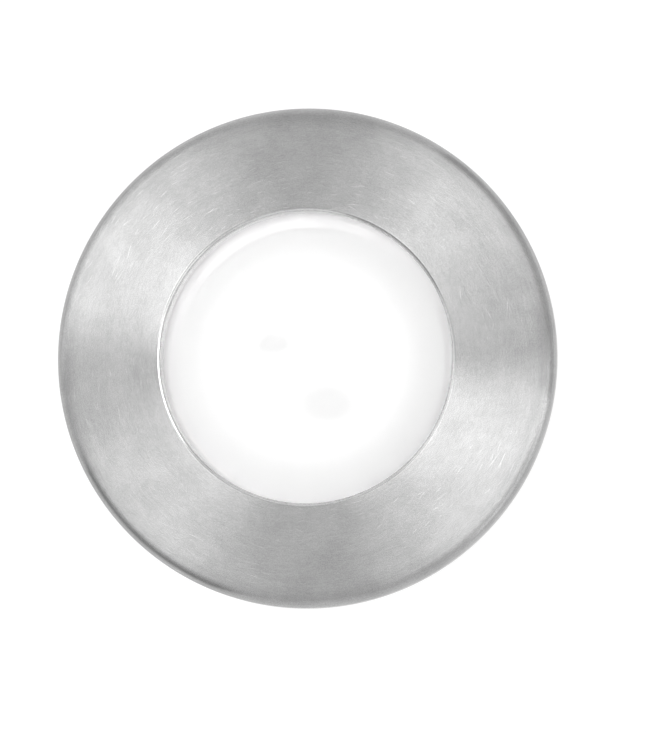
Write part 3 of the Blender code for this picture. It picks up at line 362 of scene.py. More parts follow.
def land(top):
    """One land's points, with its groove, from its top edge down."""
    middle = top - LAND_HEIGHT / 2
    half = GROOVE_WIDTH / 2
    return [
        (HOUSING_RADIUS - CAST_EDGE, top),
        (HOUSING_RADIUS, top - CAST_EDGE),
        (HOUSING_RADIUS, middle + half + CAST_EDGE),
        (HOUSING_RADIUS - CAST_EDGE, middle + half),
        (GROOVE_RADIUS, middle + half),
        (GROOVE_RADIUS, middle - half),
        (HOUSING_RADIUS - CAST_EDGE, middle - half),
        (HOUSING_RADIUS, middle - half - CAST_EDGE),
        (HOUSING_RADIUS, top - LAND_HEIGHT + CAST_EDGE),
        (HOUSING_RADIUS - CAST_EDGE, top - LAND_HEIGHT),
    ]


housing_black = grained(
    "housing_black", HOUSING_BLACK, HOUSING_ROUGHNESS, grain=HOUSING_GRAIN, depth=HOUSING_GRAIN_DEPTH
)
lower_top = HOUSING_FOOT + LAND_HEIGHT
upper_foot = HOUSING_SHOULDER - LAND_HEIGHT
housing_skin = comb(FINS, FIN_WIDTH, FIN_FLANK, FIN_ROOT, FIN_TIP, math.pi / FINS)
section = [
    (0, SHELF_TOP),
    (CHAMBER_RADIUS, SHELF_TOP),
    (CHAMBER_RADIUS, NECK_LEDGE),
    (NECK_SEAT, NECK_LEDGE),
    (NECK_SEAT, NECK_TOP),
    (NECK_RADIUS, NECK_TOP),
    (NECK_RADIUS, HOUSING_SHOULDER),
]
section += land(HOUSING_SHOULDER)
section += [(housing_skin, upper_foot), (housing_skin, lower_top)]
section += land(lower_top)
section += [(CHAMBER_RADIUS, HOUSING_FOOT), (CHAMBER_RADIUS, SHELF_FOOT), (0, SHELF_FOOT)]
housing = turned("housing_casting", section, RIBBED_STEPS)
thread_onto(housing, NECK_THREAD_RADIUS, NECK_THREAD_CORD, NECK_THREAD_FOOT, NECK_THREAD_TURNS)
stand_for(housing, "housing", "light", housing_black)

rubber = grained(
    "black_rubber", RUBBER_BLACK, RUBBER_ROUGHNESS, grain=RUBBER_GRAIN, depth=RUBBER_GRAIN_DEPTH
)
for node, land_top in (("grip_ring_upper", HOUSING_SHOULDER), ("grip_ring_lower", lower_top)):
    centre = (GRIP_RADIUS, land_top - LAND_HEIGHT / 2)
    circle = arc(centre, (GRIP_CORD, GRIP_CORD), 0, 360, CORD_SIDES)[:-1]
    grip = turned(f"{node}_cord", circle)
    stand_for(grip, node, "light", rubber)


# --- Base cap, screws and vent ---------------------------------------------------------
# A cast cap in the same black coat, held by four stainless screws, with a rubber seal in its
# spigot's groove. A moulded vent plug is pressed into it.

CAP_TOP = 0.0224
CAP_FOOT = 0.0194
CAP_EDGE = 0.0005
SPIGOT_TOP = 0.0254
SPIGOT_BORE = 0.0179
SPIGOT_RADIUS = 0.0205
SEAL_GROOVE = 0.0188
SEAL_GROOVE_LOW = 0.0229
SEAL_GROOVE_HIGH = 0.0249
GLAND_HOLE = 0.0063
SCREW_COUNT = 4
SCREW_CIRCLE = 0.0238
SCREW_FIRST_DEGREES = 45
SCREW_RADIUS = 0.0013
SCREW_HEAD = 0.0023
SCREW_HEAD_FOOT = 0.0175
SCREW_HEAD_TOP = 0.0191
SCREW_HEAD_STEPS = 8
SCREW_STEPS = 48
SCREW_TIP = 0.0272
SCREW_TIP_TAPER = 0.0005
CROSS_LENGTH = 0.0026
CROSS_WIDTH = 0.0006
CROSS_DEPTH = 0.0008
CROSS_FIRST_DEGREES = 20
CROSS_NEXT_DEGREES = 50
SCREW_STEEL = (0.55, 0.55, 0.54)
SCREW_ROUGHNESS = 0.32
SCREW_GRAIN = 4000.0
SCREW_GRAIN_DEPTH = 0.00001
SCREW_SHADE = 0.85
VENT_DEGREES = 300
VENT_CIRCLE = 0.0139
VENT_HEAD = 0.0032
VENT_STEM = 0.0018
VENT_TOP = 0.0225
VENT_SEAT = 0.0191
VENT_RIM = 0.0182
VENT_FOOT = 0.0175
VENT_EDGE = 0.0005
VENT_DISH = 0.0019
VENT_DISH_FLOOR = 0.0016
VENT_DISH_TOP = 0.0178
VENT_STEPS = 64
VENT_GREY = (0.16, 0.16, 0.17)
VENT_ROUGHNESS = 0.5


def dress(names, material):
    """Gives CAD nodes a better material in the slots they have."""
    for name in names:
        for place in nodes[name].material_slots:
            place.material = material


def around(radius, degrees):
    """The shift from the axis to a place so far out, at an angle."""
    angle = math.radians(degrees)
    return Matrix.Translation((radius * math.cos(angle), radius * math.sin(angle), 0))


section = [
    (SPIGOT_BORE, SPIGOT_TOP),
    (SPIGOT_RADIUS, SPIGOT_TOP),
    (SPIGOT_RADIUS, SEAL_GROOVE_HIGH),
    (SEAL_GROOVE, SEAL_GROOVE_HIGH),
    (SEAL_GROOVE, SEAL_GROOVE_LOW),
    (SPIGOT_RADIUS, SEAL_GROOVE_LOW),
    (SPIGOT_RADIUS, CAP_TOP),
    (HOUSING_RADIUS, CAP_TOP),
]
rounding = (CAP_EDGE, CAP_EDGE)
section += arc((HOUSING_RADIUS - CAP_EDGE, CAP_FOOT + CAP_EDGE), rounding, 0, -90, CORNER_STEPS)
section += [(GLAND_HOLE, CAP_FOOT), (GLAND_HOLE, CAP_TOP), (SPIGOT_BORE, CAP_TOP)]
cap = turned("cap_casting", section)
stand_for(cap, "base_cap", "light", housing_black)
dress(["base_seal"], rubber)

screw_steel = grained(
    "screw_steel", SCREW_STEEL, SCREW_ROUGHNESS, 1.0, SCREW_GRAIN, SCREW_GRAIN_DEPTH, SCREW_SHADE
)
dome = (SCREW_HEAD / 2, SCREW_HEAD_TOP - SCREW_HEAD_FOOT)
section = [(0, SCREW_HEAD_FOOT)]
section += arc((SCREW_HEAD / 2, SCREW_HEAD_TOP), dome, -90, 0, SCREW_HEAD_STEPS)
section += [(SCREW_RADIUS, SCREW_HEAD_TOP), (SCREW_RADIUS, SCREW_TIP - SCREW_TIP_TAPER)]
section += [(SCREW_RADIUS - SCREW_TIP_TAPER, SCREW_TIP), (0, SCREW_TIP)]
for i in range(SCREW_COUNT):
    screw = turned(f"pan_screw_{i + 1}", section, SCREW_STEPS)
    slots = []
    for wide, deep in ((CROSS_LENGTH, CROSS_WIDTH), (CROSS_WIDTH, CROSS_LENGTH)):
        half_wide, half_deep = wide / 2, deep / 2
        outline = [
            (-half_wide, -half_deep, 0),
            (half_wide, -half_deep, 0),
            (half_wide, half_deep, 0),
            (-half_wide, half_deep, 0),
        ]
        below = (0, 0, SCREW_HEAD_FOOT - CROSS_DEPTH)
        slots.append(prism("slot", outline, below, (0, 0, 2 * CROSS_DEPTH)))
    carve(screw, slots)
    driven = math.radians(CROSS_FIRST_DEGREES + CROSS_NEXT_DEGREES * i)
    where = around(SCREW_CIRCLE, SCREW_FIRST_DEGREES + 360 / SCREW_COUNT * i)
    screw.data.transform(where @ Matrix.Rotation(driven, 4, "Z"))
    stand_for(screw, f"base_screw_{i + 1}", "light", screw_steel)

vent_grey = grained("vent_grey", VENT_GREY, VENT_ROUGHNESS)
vent = turned("vent_plug", [
    (0, VENT_TOP),
    (VENT_STEM, VENT_TOP),
    (VENT_STEM, VENT_SEAT),
    (VENT_HEAD, VENT_SEAT),
    (VENT_HEAD, VENT_RIM),
    (VENT_HEAD - VENT_EDGE, VENT_FOOT),
    (VENT_DISH, VENT_FOOT),
    (VENT_DISH_FLOOR, VENT_DISH_TOP),
    (0, VENT_DISH_TOP),
], VENT_STEPS)
vent.data.transform(around(VENT_CIRCLE, VENT_DEGREES))
stand_for(vent, "breather_plug", "light", vent_grey)


# --- Cable gland -----------------------------------------------------------------------
# Moulded nylon: a body with a hexagonal flange, a locknut inside the cap, and a dome nut
# that squeezes the rubber seal on the cable. A rubber washer lies under the flange.

GLAND_BORE = 0.0036
GLAND_NECK = 0.006
GLAND_TOP = 0.0251
GLAND_STEPS = 180
HEXAGON = 6
FLANGE_ACROSS = 0.0085
FLANGE_CORNER = 0.0097
FLANGE_TOP = 0.0178
FLANGE_FOOT = 0.015
STUB_FOOT = 0.0102
STUB_BORE = 0.0051
STUB_SHELF = 0.0141
MOULD_EDGE = 0.0003
NUT_RADIUS = 0.0084
NUT_ACROSS = 0.0081
NUT_TOP = 0.0147
NUT_FOOT = 0.0069
NUT_FLOOR = 0.0099
NUT_DOME = 0.0026
NUT_DOME_STEPS = 8
NUT_FLATS = 10
LOCKNUT_ACROSS = 0.008
LOCKNUT_CORNER = 0.0091
LOCKNUT_FOOT = 0.0227
GLAND_BLACK = (0.024, 0.024, 0.025)
GLAND_ROUGHNESS = 0.45


def flats(count, across, corner):
    """The radius at an angle of a bar with so many flats and its corners turned off."""
    def radius(angle):
        share = angle * count / math.tau
        away = (share - round(share)) * math.tau / count
        return min(corner, across / math.cos(away))
    return radius


gland_black = grained("gland_black", GLAND_BLACK, GLAND_ROUGHNESS)
hexagon = flats(HEXAGON, FLANGE_ACROSS, FLANGE_CORNER)
hexagon_edge = flats(HEXAGON, FLANGE_ACROSS, FLANGE_CORNER - 2 * MOULD_EDGE)
gland = turned("gland_moulding", [
    (GLAND_BORE, GLAND_TOP),
    (GLAND_NECK, GLAND_TOP),
    (GLAND_NECK, FLANGE_TOP),
    (hexagon_edge, FLANGE_TOP),
    (hexagon, FLANGE_TOP - MOULD_EDGE),
    (hexagon, FLANGE_FOOT + MOULD_EDGE),
    (hexagon_edge, FLANGE_FOOT),
    (GLAND_NECK, FLANGE_FOOT),
    (GLAND_NECK, STUB_FOOT),
    (STUB_BORE, STUB_FOOT),
    (STUB_BORE, STUB_SHELF),
    (GLAND_BORE, STUB_SHELF),
], GLAND_STEPS)
stand_for(gland, "gland_body", "light", gland_black)
dress(["gland_washer", "gland_seal"], rubber)

decagon = flats(NUT_FLATS, NUT_ACROSS, NUT_RADIUS)
crown = (NUT_RADIUS - NUT_DOME - MOULD_EDGE, NUT_FOOT + NUT_DOME)
section = [
    (GLAND_HOLE, NUT_TOP),
    (NUT_RADIUS - 3 * MOULD_EDGE, NUT_TOP),
    (decagon, NUT_TOP - MOULD_EDGE),
    (decagon, NUT_FOOT + NUT_DOME),
]
section += arc(crown, (NUT_DOME, NUT_DOME), 0, -90, NUT_DOME_STEPS)
section += [(GLAND_BORE, NUT_FOOT), (GLAND_BORE, NUT_FLOOR), (GLAND_HOLE, NUT_FLOOR)]
nut = turned("dome_nut", section, GLAND_STEPS)
stand_for(nut, "gland_nut", "light", gland_black)

hexagon = flats(HEXAGON, LOCKNUT_ACROSS, LOCKNUT_CORNER)
locknut = turned("lock_nut", [
    (GLAND_HOLE, GLAND_TOP),
    (hexagon, GLAND_TOP),
    (hexagon, LOCKNUT_FOOT),
    (GLAND_HOLE, LOCKNUT_FOOT),
], GLAND_STEPS)
stand_for(locknut, "gland_locknut", "light", gland_black)


# --- Lamp and driver -------------------------------------------------------------------
# A white reflector cup over a board with three emitters, and under the shelf a green board
# with its capacitors, inductor, rectifier, chip and terminals, all screwed to the housing.

# Name, colour, roughness, metallic, the dark mottles' share of the colour, CAD nodes.
LAMP_SKINS = [
    ("reflector_white", (0.86, 0.86, 0.86), 0.3, 0.0, 0.95, ["reflector"]),
    ("board_white", (0.82, 0.82, 0.8), 0.4, 0.0, 0.95, ["light_board"]),
    ("phosphor", (0.85, 0.66, 0.18), 0.35, 0.0, 0.75, ["led_1", "led_2", "led_3"]),
    ("thermal_grey", (0.35, 0.36, 0.38), 0.8, 0.0, 0.75, ["thermal_pad"]),
    ("lead_red", (0.5, 0.02, 0.02), 0.4, 0.0, 0.75, ["lead_red"]),
    ("lead_black", (0.02, 0.02, 0.02), 0.4, 0.0, 0.75, ["lead_black"]),
    ("board_green", (0.02, 0.12, 0.05), 0.35, 0.0, 0.75, ["driver_board"]),
    ("nylon", (0.8, 0.8, 0.77), 0.45, 0.0, 0.75, ["driver_spacer_1", "driver_spacer_2"]),
    ("capacitor_blue", (0.03, 0.07, 0.2), 0.35, 0.0, 0.75, ["capacitor_large", "capacitor_small"]),
    ("ferrite", (0.06, 0.06, 0.06), 0.7, 0.0, 0.75, ["inductor_core"]),
    ("copper", (0.72, 0.32, 0.14), 0.3, 1.0, 0.75, ["inductor_winding"]),
    ("component_black", (0.02, 0.02, 0.02), 0.5, 0.0, 0.75, ["rectifier", "driver_chip"]),
    ("terminal_green", (0.05, 0.3, 0.12), 0.45, 0.0, 0.75, ["terminal_block"]),
]

for name, colour, roughness, metallic, shade, dressed in LAMP_SKINS:
    dress(dressed, grained(name, colour, roughness, metallic, shade=shade))
dress([f"{use}_screw_{i}" for use in ("board", "driver", "terminal") for i in (1, 2)], screw_steel)


# --- Glass -----------------------------------------------------------------------------
# A thick polished disc, bevelled at both edges, which lies on the gasket in the neck's seat.
# A faint film dulls it in places.

GLASS_RADIUS = 0.0233
GLASS_FOOT = 0.0583
GLASS_TOP = 0.0633
GLASS_BEVEL = 0.0005
GLASS_TINT = (0.994, 0.993, 0.993)
GLASS_IOR = 1.5
FILM_SCALE = 90.0
FILM_PATCHES = (0.45, 0.75)
FILM_ROUGHNESS = 0.03

glass, tree, shader = paint("glass", GLASS_TINT, 0.0)
shader.inputs["Transmission Weight"].default_value = 1.0
shader.inputs["IOR"].default_value = GLASS_IOR
film = spread(tree, noise(tree, FILM_SCALE), *FILM_PATCHES, 0.0, FILM_ROUGHNESS)
tree.links.new(film, shader.inputs["Roughness"])
lens = turned("lens_glass", [
    (0, GLASS_TOP),
    (GLASS_RADIUS - GLASS_BEVEL, GLASS_TOP),
    (GLASS_RADIUS, GLASS_TOP - GLASS_BEVEL),
    (GLASS_RADIUS, GLASS_FOOT + GLASS_BEVEL),
    (GLASS_RADIUS - GLASS_BEVEL, GLASS_FOOT),
    (0, GLASS_FOOT),
])
stand_for(lens, "lens", "light", glass)


# --- Gasket ----------------------------------------------------------------------------
# A flat ring of white silicone, die cut, pressed between the glass and the ledge round the
# lit disc. The disc's light in it is painted on as a glow: stronger to the north and at the
# north and south ends, weaker to the east, and dimmer at its outer edge.

GASKET_BORE = 0.0205
GASKET_RADIUS = 0.0233
GASKET_FOOT = 0.0568
GASKET_TOP = 0.0580
SILICONE_WHITE = (0.87, 0.865, 0.869)
SILICONE_SHADE = (0.80, 0.795, 0.799)
SILICONE_ROUGHNESS = 0.55
SILICONE_CLOUD = 300.0
GASKET_UNIT = 0.0215
GASKET_PAINTED_GLOW = 0.457
GASKET_PAINTED_GLOW_ENDS = 0.185
GASKET_PAINTED_GLOW_NORTH = 0.105
GASKET_PAINTED_GLOW_EAST = -0.1
GASKET_EDGE_SHARES = (0.995, 1.07)
GASKET_EDGE_PAINTED_GLOW = 0.6


def calc(tree, operation, *values):
    """A Math node's result. Each value is a number or an output."""
    made = add(tree, "Math", operation=operation)
    for socket, value in zip(made.inputs, values):
        if isinstance(value, (int, float)):
            socket.default_value = value
        else:
            tree.links.new(value, socket)
    return made.outputs[0]


def own_place(tree):
    """How far east, north and up a point lies in its object's own space."""
    split = add(tree, "SeparateXYZ")
    tree.links.new(add(tree, "TexCoord").outputs["Object"], split.inputs[0])
    return split.outputs


def far_out(tree, a, b):
    """The distance that two steps at right angles make."""
    squares = (calc(tree, "MULTIPLY", a, a), calc(tree, "MULTIPLY", b, b))
    return calc(tree, "SQRT", calc(tree, "ADD", *squares))


def light_up(tree, shader, strength):
    """White light from the surface itself."""
    shader.inputs["Emission Color"].default_value = (1, 1, 1, 1)
    tree.links.new(strength, shader.inputs["Emission Strength"])


silicone_painted_glow, tree, shader = paint("white_silicone", SILICONE_WHITE, SILICONE_ROUGHNESS)
cloud = spread(tree, noise(tree, SILICONE_CLOUD), *NOISE_WIDE)
tone = mix_colours(tree, cloud, SILICONE_SHADE, SILICONE_WHITE)
east, north, _ = own_place(tree)
east = calc(tree, "DIVIDE", east, GASKET_UNIT)
north = calc(tree, "DIVIDE", north, GASKET_UNIT)
# Painted light: the glow stands in for the disc's light, stronger to the north and at the north and
# south ends, weaker to the east.
ends = calc(tree, "MULTIPLY", north, north)
glow = calc(tree, "MULTIPLY_ADD", ends, GASKET_PAINTED_GLOW_ENDS, GASKET_PAINTED_GLOW)
glow = calc(tree, "MULTIPLY_ADD", north, GASKET_PAINTED_GLOW_NORTH, glow)
glow = calc(tree, "MULTIPLY_ADD", east, GASKET_PAINTED_GLOW_EAST, glow)
# Painted shade: the glow dims towards the gasket's outer edge.
edge = spread(tree, far_out(tree, east, north), *GASKET_EDGE_SHARES, 1.0, GASKET_EDGE_PAINTED_GLOW)
light_up(tree, shader, calc(tree, "MULTIPLY", glow, edge))
tree.links.new(tone, shader.inputs["Base Color"])
tree.links.new(tone, shader.inputs["Emission Color"])
gasket = turned("gasket_ring", [
    (GASKET_BORE, GASKET_FOOT),
    (GASKET_RADIUS, GASKET_FOOT),
    (GASKET_RADIUS, GASKET_TOP),
    (GASKET_BORE, GASKET_TOP),
])
stand_for(gasket, "lens_gasket", "light", silicone_painted_glow)


# --- Lit disc --------------------------------------------------------------------------
# Opal acrylic, laser cut to fill the gasket's bore, lying on the ledge in the neck. It is
# brightest over the emitters and fades towards its rim; two faint patches dull it.

OPAL_WHITE = (0.9, 0.9, 0.9)
OPAL_ROUGHNESS = 0.4
# Pairs are the radii between which the glow changes.
GLOW_FADE = (0.0120, 0.0182)
GLOW_MIDDLE = 0.47
GLOW_OUTSIDE = 0.35
GLOW_RIM = (0.0178, 0.0203)
GLOW_RIM_GAIN = 0.035
GLOW_LEAN = 1.4
PATCH_FLAT = 1.5
PATCH_CORE_SHARE = 0.45
# East, north, radius, how much they take from the glow.
PATCHES = [(-0.0058, 0.0027, 0.0036, 0.2), (0.0023, -0.0065, 0.0062, 0.172)]

opal, tree, shader = paint("opal", OPAL_WHITE, OPAL_ROUGHNESS)
east, north, _ = own_place(tree)
distance = far_out(tree, east, north)
glow = spread(tree, distance, *GLOW_FADE, GLOW_MIDDLE, GLOW_OUTSIDE)
glow = calc(tree, "ADD", glow, spread(tree, distance, *GLOW_RIM, 0.0, GLOW_RIM_GAIN))
glow = calc(tree, "MULTIPLY_ADD", calc(tree, "SUBTRACT", north, east), GLOW_LEAN, glow)
for x, y, radius, depth in PATCHES:
    across = calc(tree, "SUBTRACT", east, x)
    along = calc(tree, "MULTIPLY", calc(tree, "SUBTRACT", north, y), PATCH_FLAT)
    away = far_out(tree, across, along)
    dull = spread(tree, away, PATCH_CORE_SHARE * radius, radius, depth, 0.0)
    glow = calc(tree, "SUBTRACT", glow, dull)
light_up(tree, shader, glow)
disc = turned("diffuser_disc", [
    (0, GASKET_TOP),
    (GASKET_BORE, GASKET_TOP),
    (GASKET_BORE, GASKET_FOOT),
    (0, GASKET_FOOT),
])
stand_for(disc, "diffuser", "light", opal)


# --- Slip washer -----------------------------------------------------------------------
# A thin ring punched from nylon sheet. It lies on the glass, and the face ring turns on it.

WASHER_BORE = 0.0224
WASHER_RADIUS = 0.0233
WASHER_FOOT = 0.0636
WASHER_TOP = 0.0640
WASHER_WHITE = (0.8, 0.8, 0.77)
WASHER_ROUGHNESS = 0.45

nylon = grained("washer_nylon", WASHER_WHITE, WASHER_ROUGHNESS)
washer = turned("washer_ring", [
    (WASHER_BORE, WASHER_FOOT),
    (WASHER_RADIUS, WASHER_FOOT),
    (WASHER_RADIUS, WASHER_TOP),
    (WASHER_BORE, WASHER_TOP),
])
stand_for(washer, "slip_washer", "slip_ring", nylon)


# --- Face ring -------------------------------------------------------------------------
# Turned from a stainless blank and screwed on the neck by its skirt. Its flat is brushed on
# the lathe with abrasive cloth, its shoulder is rounded, and the lip of its hole polished.

RING_RADIUS = 0.038
RING_TOP = 0.0683
RING_FOOT = 0.0643
SHOULDER_WIDTH = 0.0021
SHOULDER_DROP = 0.0016
SHOULDER_STEPS = 20
FOOT_BEVEL = 0.0005
HOLE_RADIUS = 0.0221
LIP = 0.0008
LIP_STEPS = 12
RECESS_RADIUS = 0.0333
RECESS_ROOF = 0.0649
SKIRT_RADIUS = 0.027
SKIRT_BORE = 0.0257
SKIRT_FOOT = 0.0529
RING_THREAD_RADIUS = 0.0256
RING_THREAD_CORD = 0.00065
RING_THREAD_FOOT = 0.0539
RING_THREAD_TURNS = 1.5
RING_STEPS = 512
RING_SOFT_DEGREES = 35.0

STEEL_GREY = 0.43
FINE_TURNS = 30.0
FINE_LINES = 7000.0
FINE_SWING = 0.017
COARSE_TURNS = 5.0
COARSE_LINES = 2600.0
COARSE_SWING = 0.009
MOTTLE_SCALE = 130.0
MOTTLE_SWING = 0.020
FLECK_SCALE = 650.0
FLECK_SWING = 0.008
STEEL_GRAIN_SCALE = 5200.0
STEEL_GRAIN_SWING = 0.028
FINE_BUMP = 0.04
FINE_BUMP_DEPTH = 0.00003
SCRATCH_UNIT = 0.03
SCRATCH_LEAN = 0.9
SCRATCH_LENGTH_SHARE = 0.36
SCRATCH_CORE = 0.2
SCRATCH_BRIGHTNESS = 0.13
SCRATCH_FIELDS = 70.0
SCRATCHED_FIELDS = (0.42, 0.6)
# Length, spacing, thickness, share of the cells with a mark, shift of the pattern.
LONG_SCRATCHES = (0.0044, 0.0015, 0.00006, 0.20, 0.3)
SHORT_SCRATCHES = (0.0022, 0.0008, 0.00005, 0.22, 7.7)
# Pairs are shares of the lip's width, or radii, where polish, gloss, painted shade or a painted
# highlight sets in or ends.
POLISH_SHARES = (0.85, 1.0)
POLISH_PAINTED_SHADE = -0.05
LIP_HIGHLIGHT_SHARES = (0.4, 0.75)
LIP_PAINTED_HIGHLIGHT = 0.2
FLAT_PAINTED_SHADE = (0.0270, 0.0325)
FLAT_PAINTED_SHADE_DEPTH = -0.033
OUTER_PAINTED_SHADE = (0.0344, 0.0374)
OUTER_PAINTED_SHADE_LEVEL = 0.795
INNER_PAINTED_LIGHT = (0.0232, 0.0258)
INNER_PAINTED_LIGHT_GAIN = 0.045
RIM_PAINTED_HIGHLIGHT = (0.0368, 0.0376)
RIM_PAINTED_HIGHLIGHT_GAIN = 0.165
RIM_GLOSS = (0.0368, 0.0375)
RIM_GLOSS_SHARE = 0.9
BRUSHED_ROUGHNESS = 0.26
POLISHED_ROUGHNESS = 0.19
POLISHED_ANISOTROPY = 0.8
QUARTER_TURN = 0.25

steel, tree, shader = paint("brushed_steel", metallic=1.0)
east, north, up = own_place(tree)
distance = far_out(tree, east, north)
cosine = calc(tree, "DIVIDE", east, distance)
sine = calc(tree, "DIVIDE", north, distance)


def brushing(turns, fineness, detail):
    """Noise drawn out along the circles that the lathe leaves."""
    merge = add(tree, "CombineXYZ")
    level = calc(tree, "SUBTRACT", distance, up)
    for socket, way, scale in zip(merge.inputs, (cosine, sine, level), (turns, turns, fineness)):
        tree.links.new(calc(tree, "MULTIPLY", way, scale), socket)
    return noise(tree, 1.0, detail, merge.outputs[0])


def scratches(length, spacing, thickness, share, seed):
    """Short bright marks along the brushing: one in each polar cell, few of them kept."""
    merge = add(tree, "CombineXYZ")
    angle = calc(tree, "ARCTAN2", north, east)
    turn = calc(tree, "MULTIPLY_ADD", angle, SCRATCH_UNIT / length, seed)
    tree.links.new(turn, merge.inputs[0])
    tree.links.new(calc(tree, "DIVIDE", distance, spacing), merge.inputs[1])
    cells = add(tree, "TexVoronoi", voronoi_dimensions="2D")
    cells.inputs["Scale"].default_value = 1.0
    tree.links.new(merge.outputs[0], cells.inputs["Vector"])
    off = add(tree, "VectorMath", operation="SUBTRACT")
    tree.links.new(merge.outputs[0], off.inputs[0])
    tree.links.new(cells.outputs["Position"], off.inputs[1])
    parts = add(tree, "SeparateXYZ")
    tree.links.new(off.outputs[0], parts.inputs[0])
    chance = add(tree, "SeparateColor")
    tree.links.new(cells.outputs["Color"], chance.inputs[0])
    lean = calc(tree, "MULTIPLY_ADD", chance.outputs[1], 2 * SCRATCH_LEAN, -SCRATCH_LEAN)
    slant = calc(tree, "MULTIPLY", parts.outputs[0], lean)
    across = calc(tree, "SUBTRACT", parts.outputs[1], slant)
    across = calc(tree, "DIVIDE", across, thickness / spacing)
    along = calc(tree, "DIVIDE", parts.outputs[0], SCRATCH_LENGTH_SHARE)
    squares = (calc(tree, "MULTIPLY", across, across), calc(tree, "MULTIPLY", along, along))
    body = spread(tree, calc(tree, "ADD", *squares), SCRATCH_CORE, 1.0, 1.0, 0.0)
    kept = calc(tree, "GREATER_THAN", chance.outputs[0], 1.0 - share)
    return calc(tree, "MULTIPLY", body, kept)


fine = brushing(FINE_TURNS, FINE_LINES, detail=2.0)
coarse = brushing(COARSE_TURNS, COARSE_LINES, detail=3.0)
grey = STEEL_GREY
for tone, reach, swing in (
    (fine, NOISE_WIDE, FINE_SWING),
    (coarse, NOISE_WIDE, COARSE_SWING),
    (noise(tree, MOTTLE_SCALE, detail=3.0), NOISE_NARROW, MOTTLE_SWING),
    (noise(tree, FLECK_SCALE, detail=2.0), NOISE_NARROW, FLECK_SWING),
    (noise(tree, STEEL_GRAIN_SCALE, detail=1.0), NOISE_WIDE, STEEL_GRAIN_SWING),
):
    grey = calc(tree, "ADD", spread(tree, tone, *reach, -swing, swing), grey)
marks = calc(tree, "MAXIMUM", scratches(*LONG_SCRATCHES), scratches(*SHORT_SCRATCHES))
fields = spread(tree, noise(tree, SCRATCH_FIELDS, detail=2.0), *SCRATCHED_FIELDS)
marks = calc(tree, "MULTIPLY", marks, fields)
grey = calc(tree, "MULTIPLY_ADD", marks, SCRATCH_BRIGHTNESS, grey)
# Painted shade and painted highlights in the steel's colour: a little lighter next to the hole,
# darker over the outer flat, much darker over the shoulder, and lighter again at its outer edge.
shade = spread(tree, distance, *OUTER_PAINTED_SHADE, 1.0, OUTER_PAINTED_SHADE_LEVEL)
shade = calc(tree, "ADD", shade, spread(tree, distance, *FLAT_PAINTED_SHADE, 0.0, FLAT_PAINTED_SHADE_DEPTH))
shade = calc(tree, "ADD", shade, spread(tree, distance, *INNER_PAINTED_LIGHT, INNER_PAINTED_LIGHT_GAIN, 0.0))
shade = calc(tree, "ADD", shade, spread(tree, distance, *RIM_PAINTED_HIGHLIGHT, 0.0, RIM_PAINTED_HIGHLIGHT_GAIN))
grey = calc(tree, "MULTIPLY", grey, shade)
# Painted shade darkens the polished lip a little, and a painted highlight lightens its inner part;
# the same polish mask also makes the lip smoother.
start, end = (HOLE_RADIUS + share * LIP for share in POLISH_SHARES)
polish_and_painted_shade = spread(tree, distance, start, end, 1.0, 0.0)
grey = calc(tree, "MULTIPLY_ADD", polish_and_painted_shade, POLISH_PAINTED_SHADE, grey)
start, end = (HOLE_RADIUS + share * LIP for share in LIP_HIGHLIGHT_SHARES)
grey = calc(tree, "ADD", grey, spread(tree, distance, start, end, LIP_PAINTED_HIGHLIGHT, 0.0))
hue = add(tree, "CombineColor")
for socket in hue.inputs[:3]:
    tree.links.new(grey, socket)
tree.links.new(hue.outputs[0], shader.inputs["Base Color"])
gloss = calc(tree, "MAXIMUM", polish_and_painted_shade, spread(tree, distance, *RIM_GLOSS, 0.0, RIM_GLOSS_SHARE))
for name, brushed, polished in (
    ("Roughness", BRUSHED_ROUGHNESS, POLISHED_ROUGHNESS),
    ("Anisotropic", 1.0, POLISHED_ANISOTROPY),
):
    value = spread(tree, gloss, 0.0, 1.0, brushed, polished, smooth=False)
    tree.links.new(value, shader.inputs[name])
shader.inputs["Anisotropic Rotation"].default_value = QUARTER_TURN
lay = add(tree, "Tangent", direction_type="RADIAL", axis="Z")
tree.links.new(lay.outputs[0], shader.inputs["Tangent"])
bump(tree, shader, fine, FINE_BUMP, FINE_BUMP_DEPTH)

shoulder = (RING_RADIUS - SHOULDER_WIDTH, RING_TOP - SHOULDER_DROP)
section = arc((HOLE_RADIUS + LIP, RING_TOP - LIP), (LIP, LIP), 180, 90, LIP_STEPS)
section += arc(shoulder, (SHOULDER_WIDTH, SHOULDER_DROP), 90, 0, SHOULDER_STEPS)
section += [
    (RING_RADIUS, RING_FOOT + FOOT_BEVEL),
    (RING_RADIUS - FOOT_BEVEL, RING_FOOT),
    (RECESS_RADIUS, RING_FOOT),
    (RECESS_RADIUS, RECESS_ROOF),
    (SKIRT_RADIUS, RECESS_ROOF),
    (SKIRT_RADIUS, SKIRT_FOOT),
    (SKIRT_BORE, SKIRT_FOOT),
    (SKIRT_BORE, RING_FOOT),
    (HOLE_RADIUS, RING_FOOT),
]
ring = turned("face_ring_turned", section, RING_STEPS, RING_SOFT_DEGREES)
thread_onto(
    ring, RING_THREAD_RADIUS, RING_THREAD_CORD, RING_THREAD_FOOT, RING_THREAD_TURNS, RING_SOFT_DEGREES
)
stand_for(ring, "face_ring", "ring", steel)


# --- White sky and floor ---------------------------------------------------------------
# Seen by the camera, in metal and through glass, both are white. What lights the object
# is dimmer, and the floor keeps its shadow.

SKY_ON_OBJECT = 0.62
FLOOR_RADIUS = 0.8
FLOOR_DROP = 0.0002
FLOOR_WHITE = (0.25, 0.25, 0.25)
FLOOR_GLOW = 0.85
SHEET_STEPS = 96
MATT = 0.9


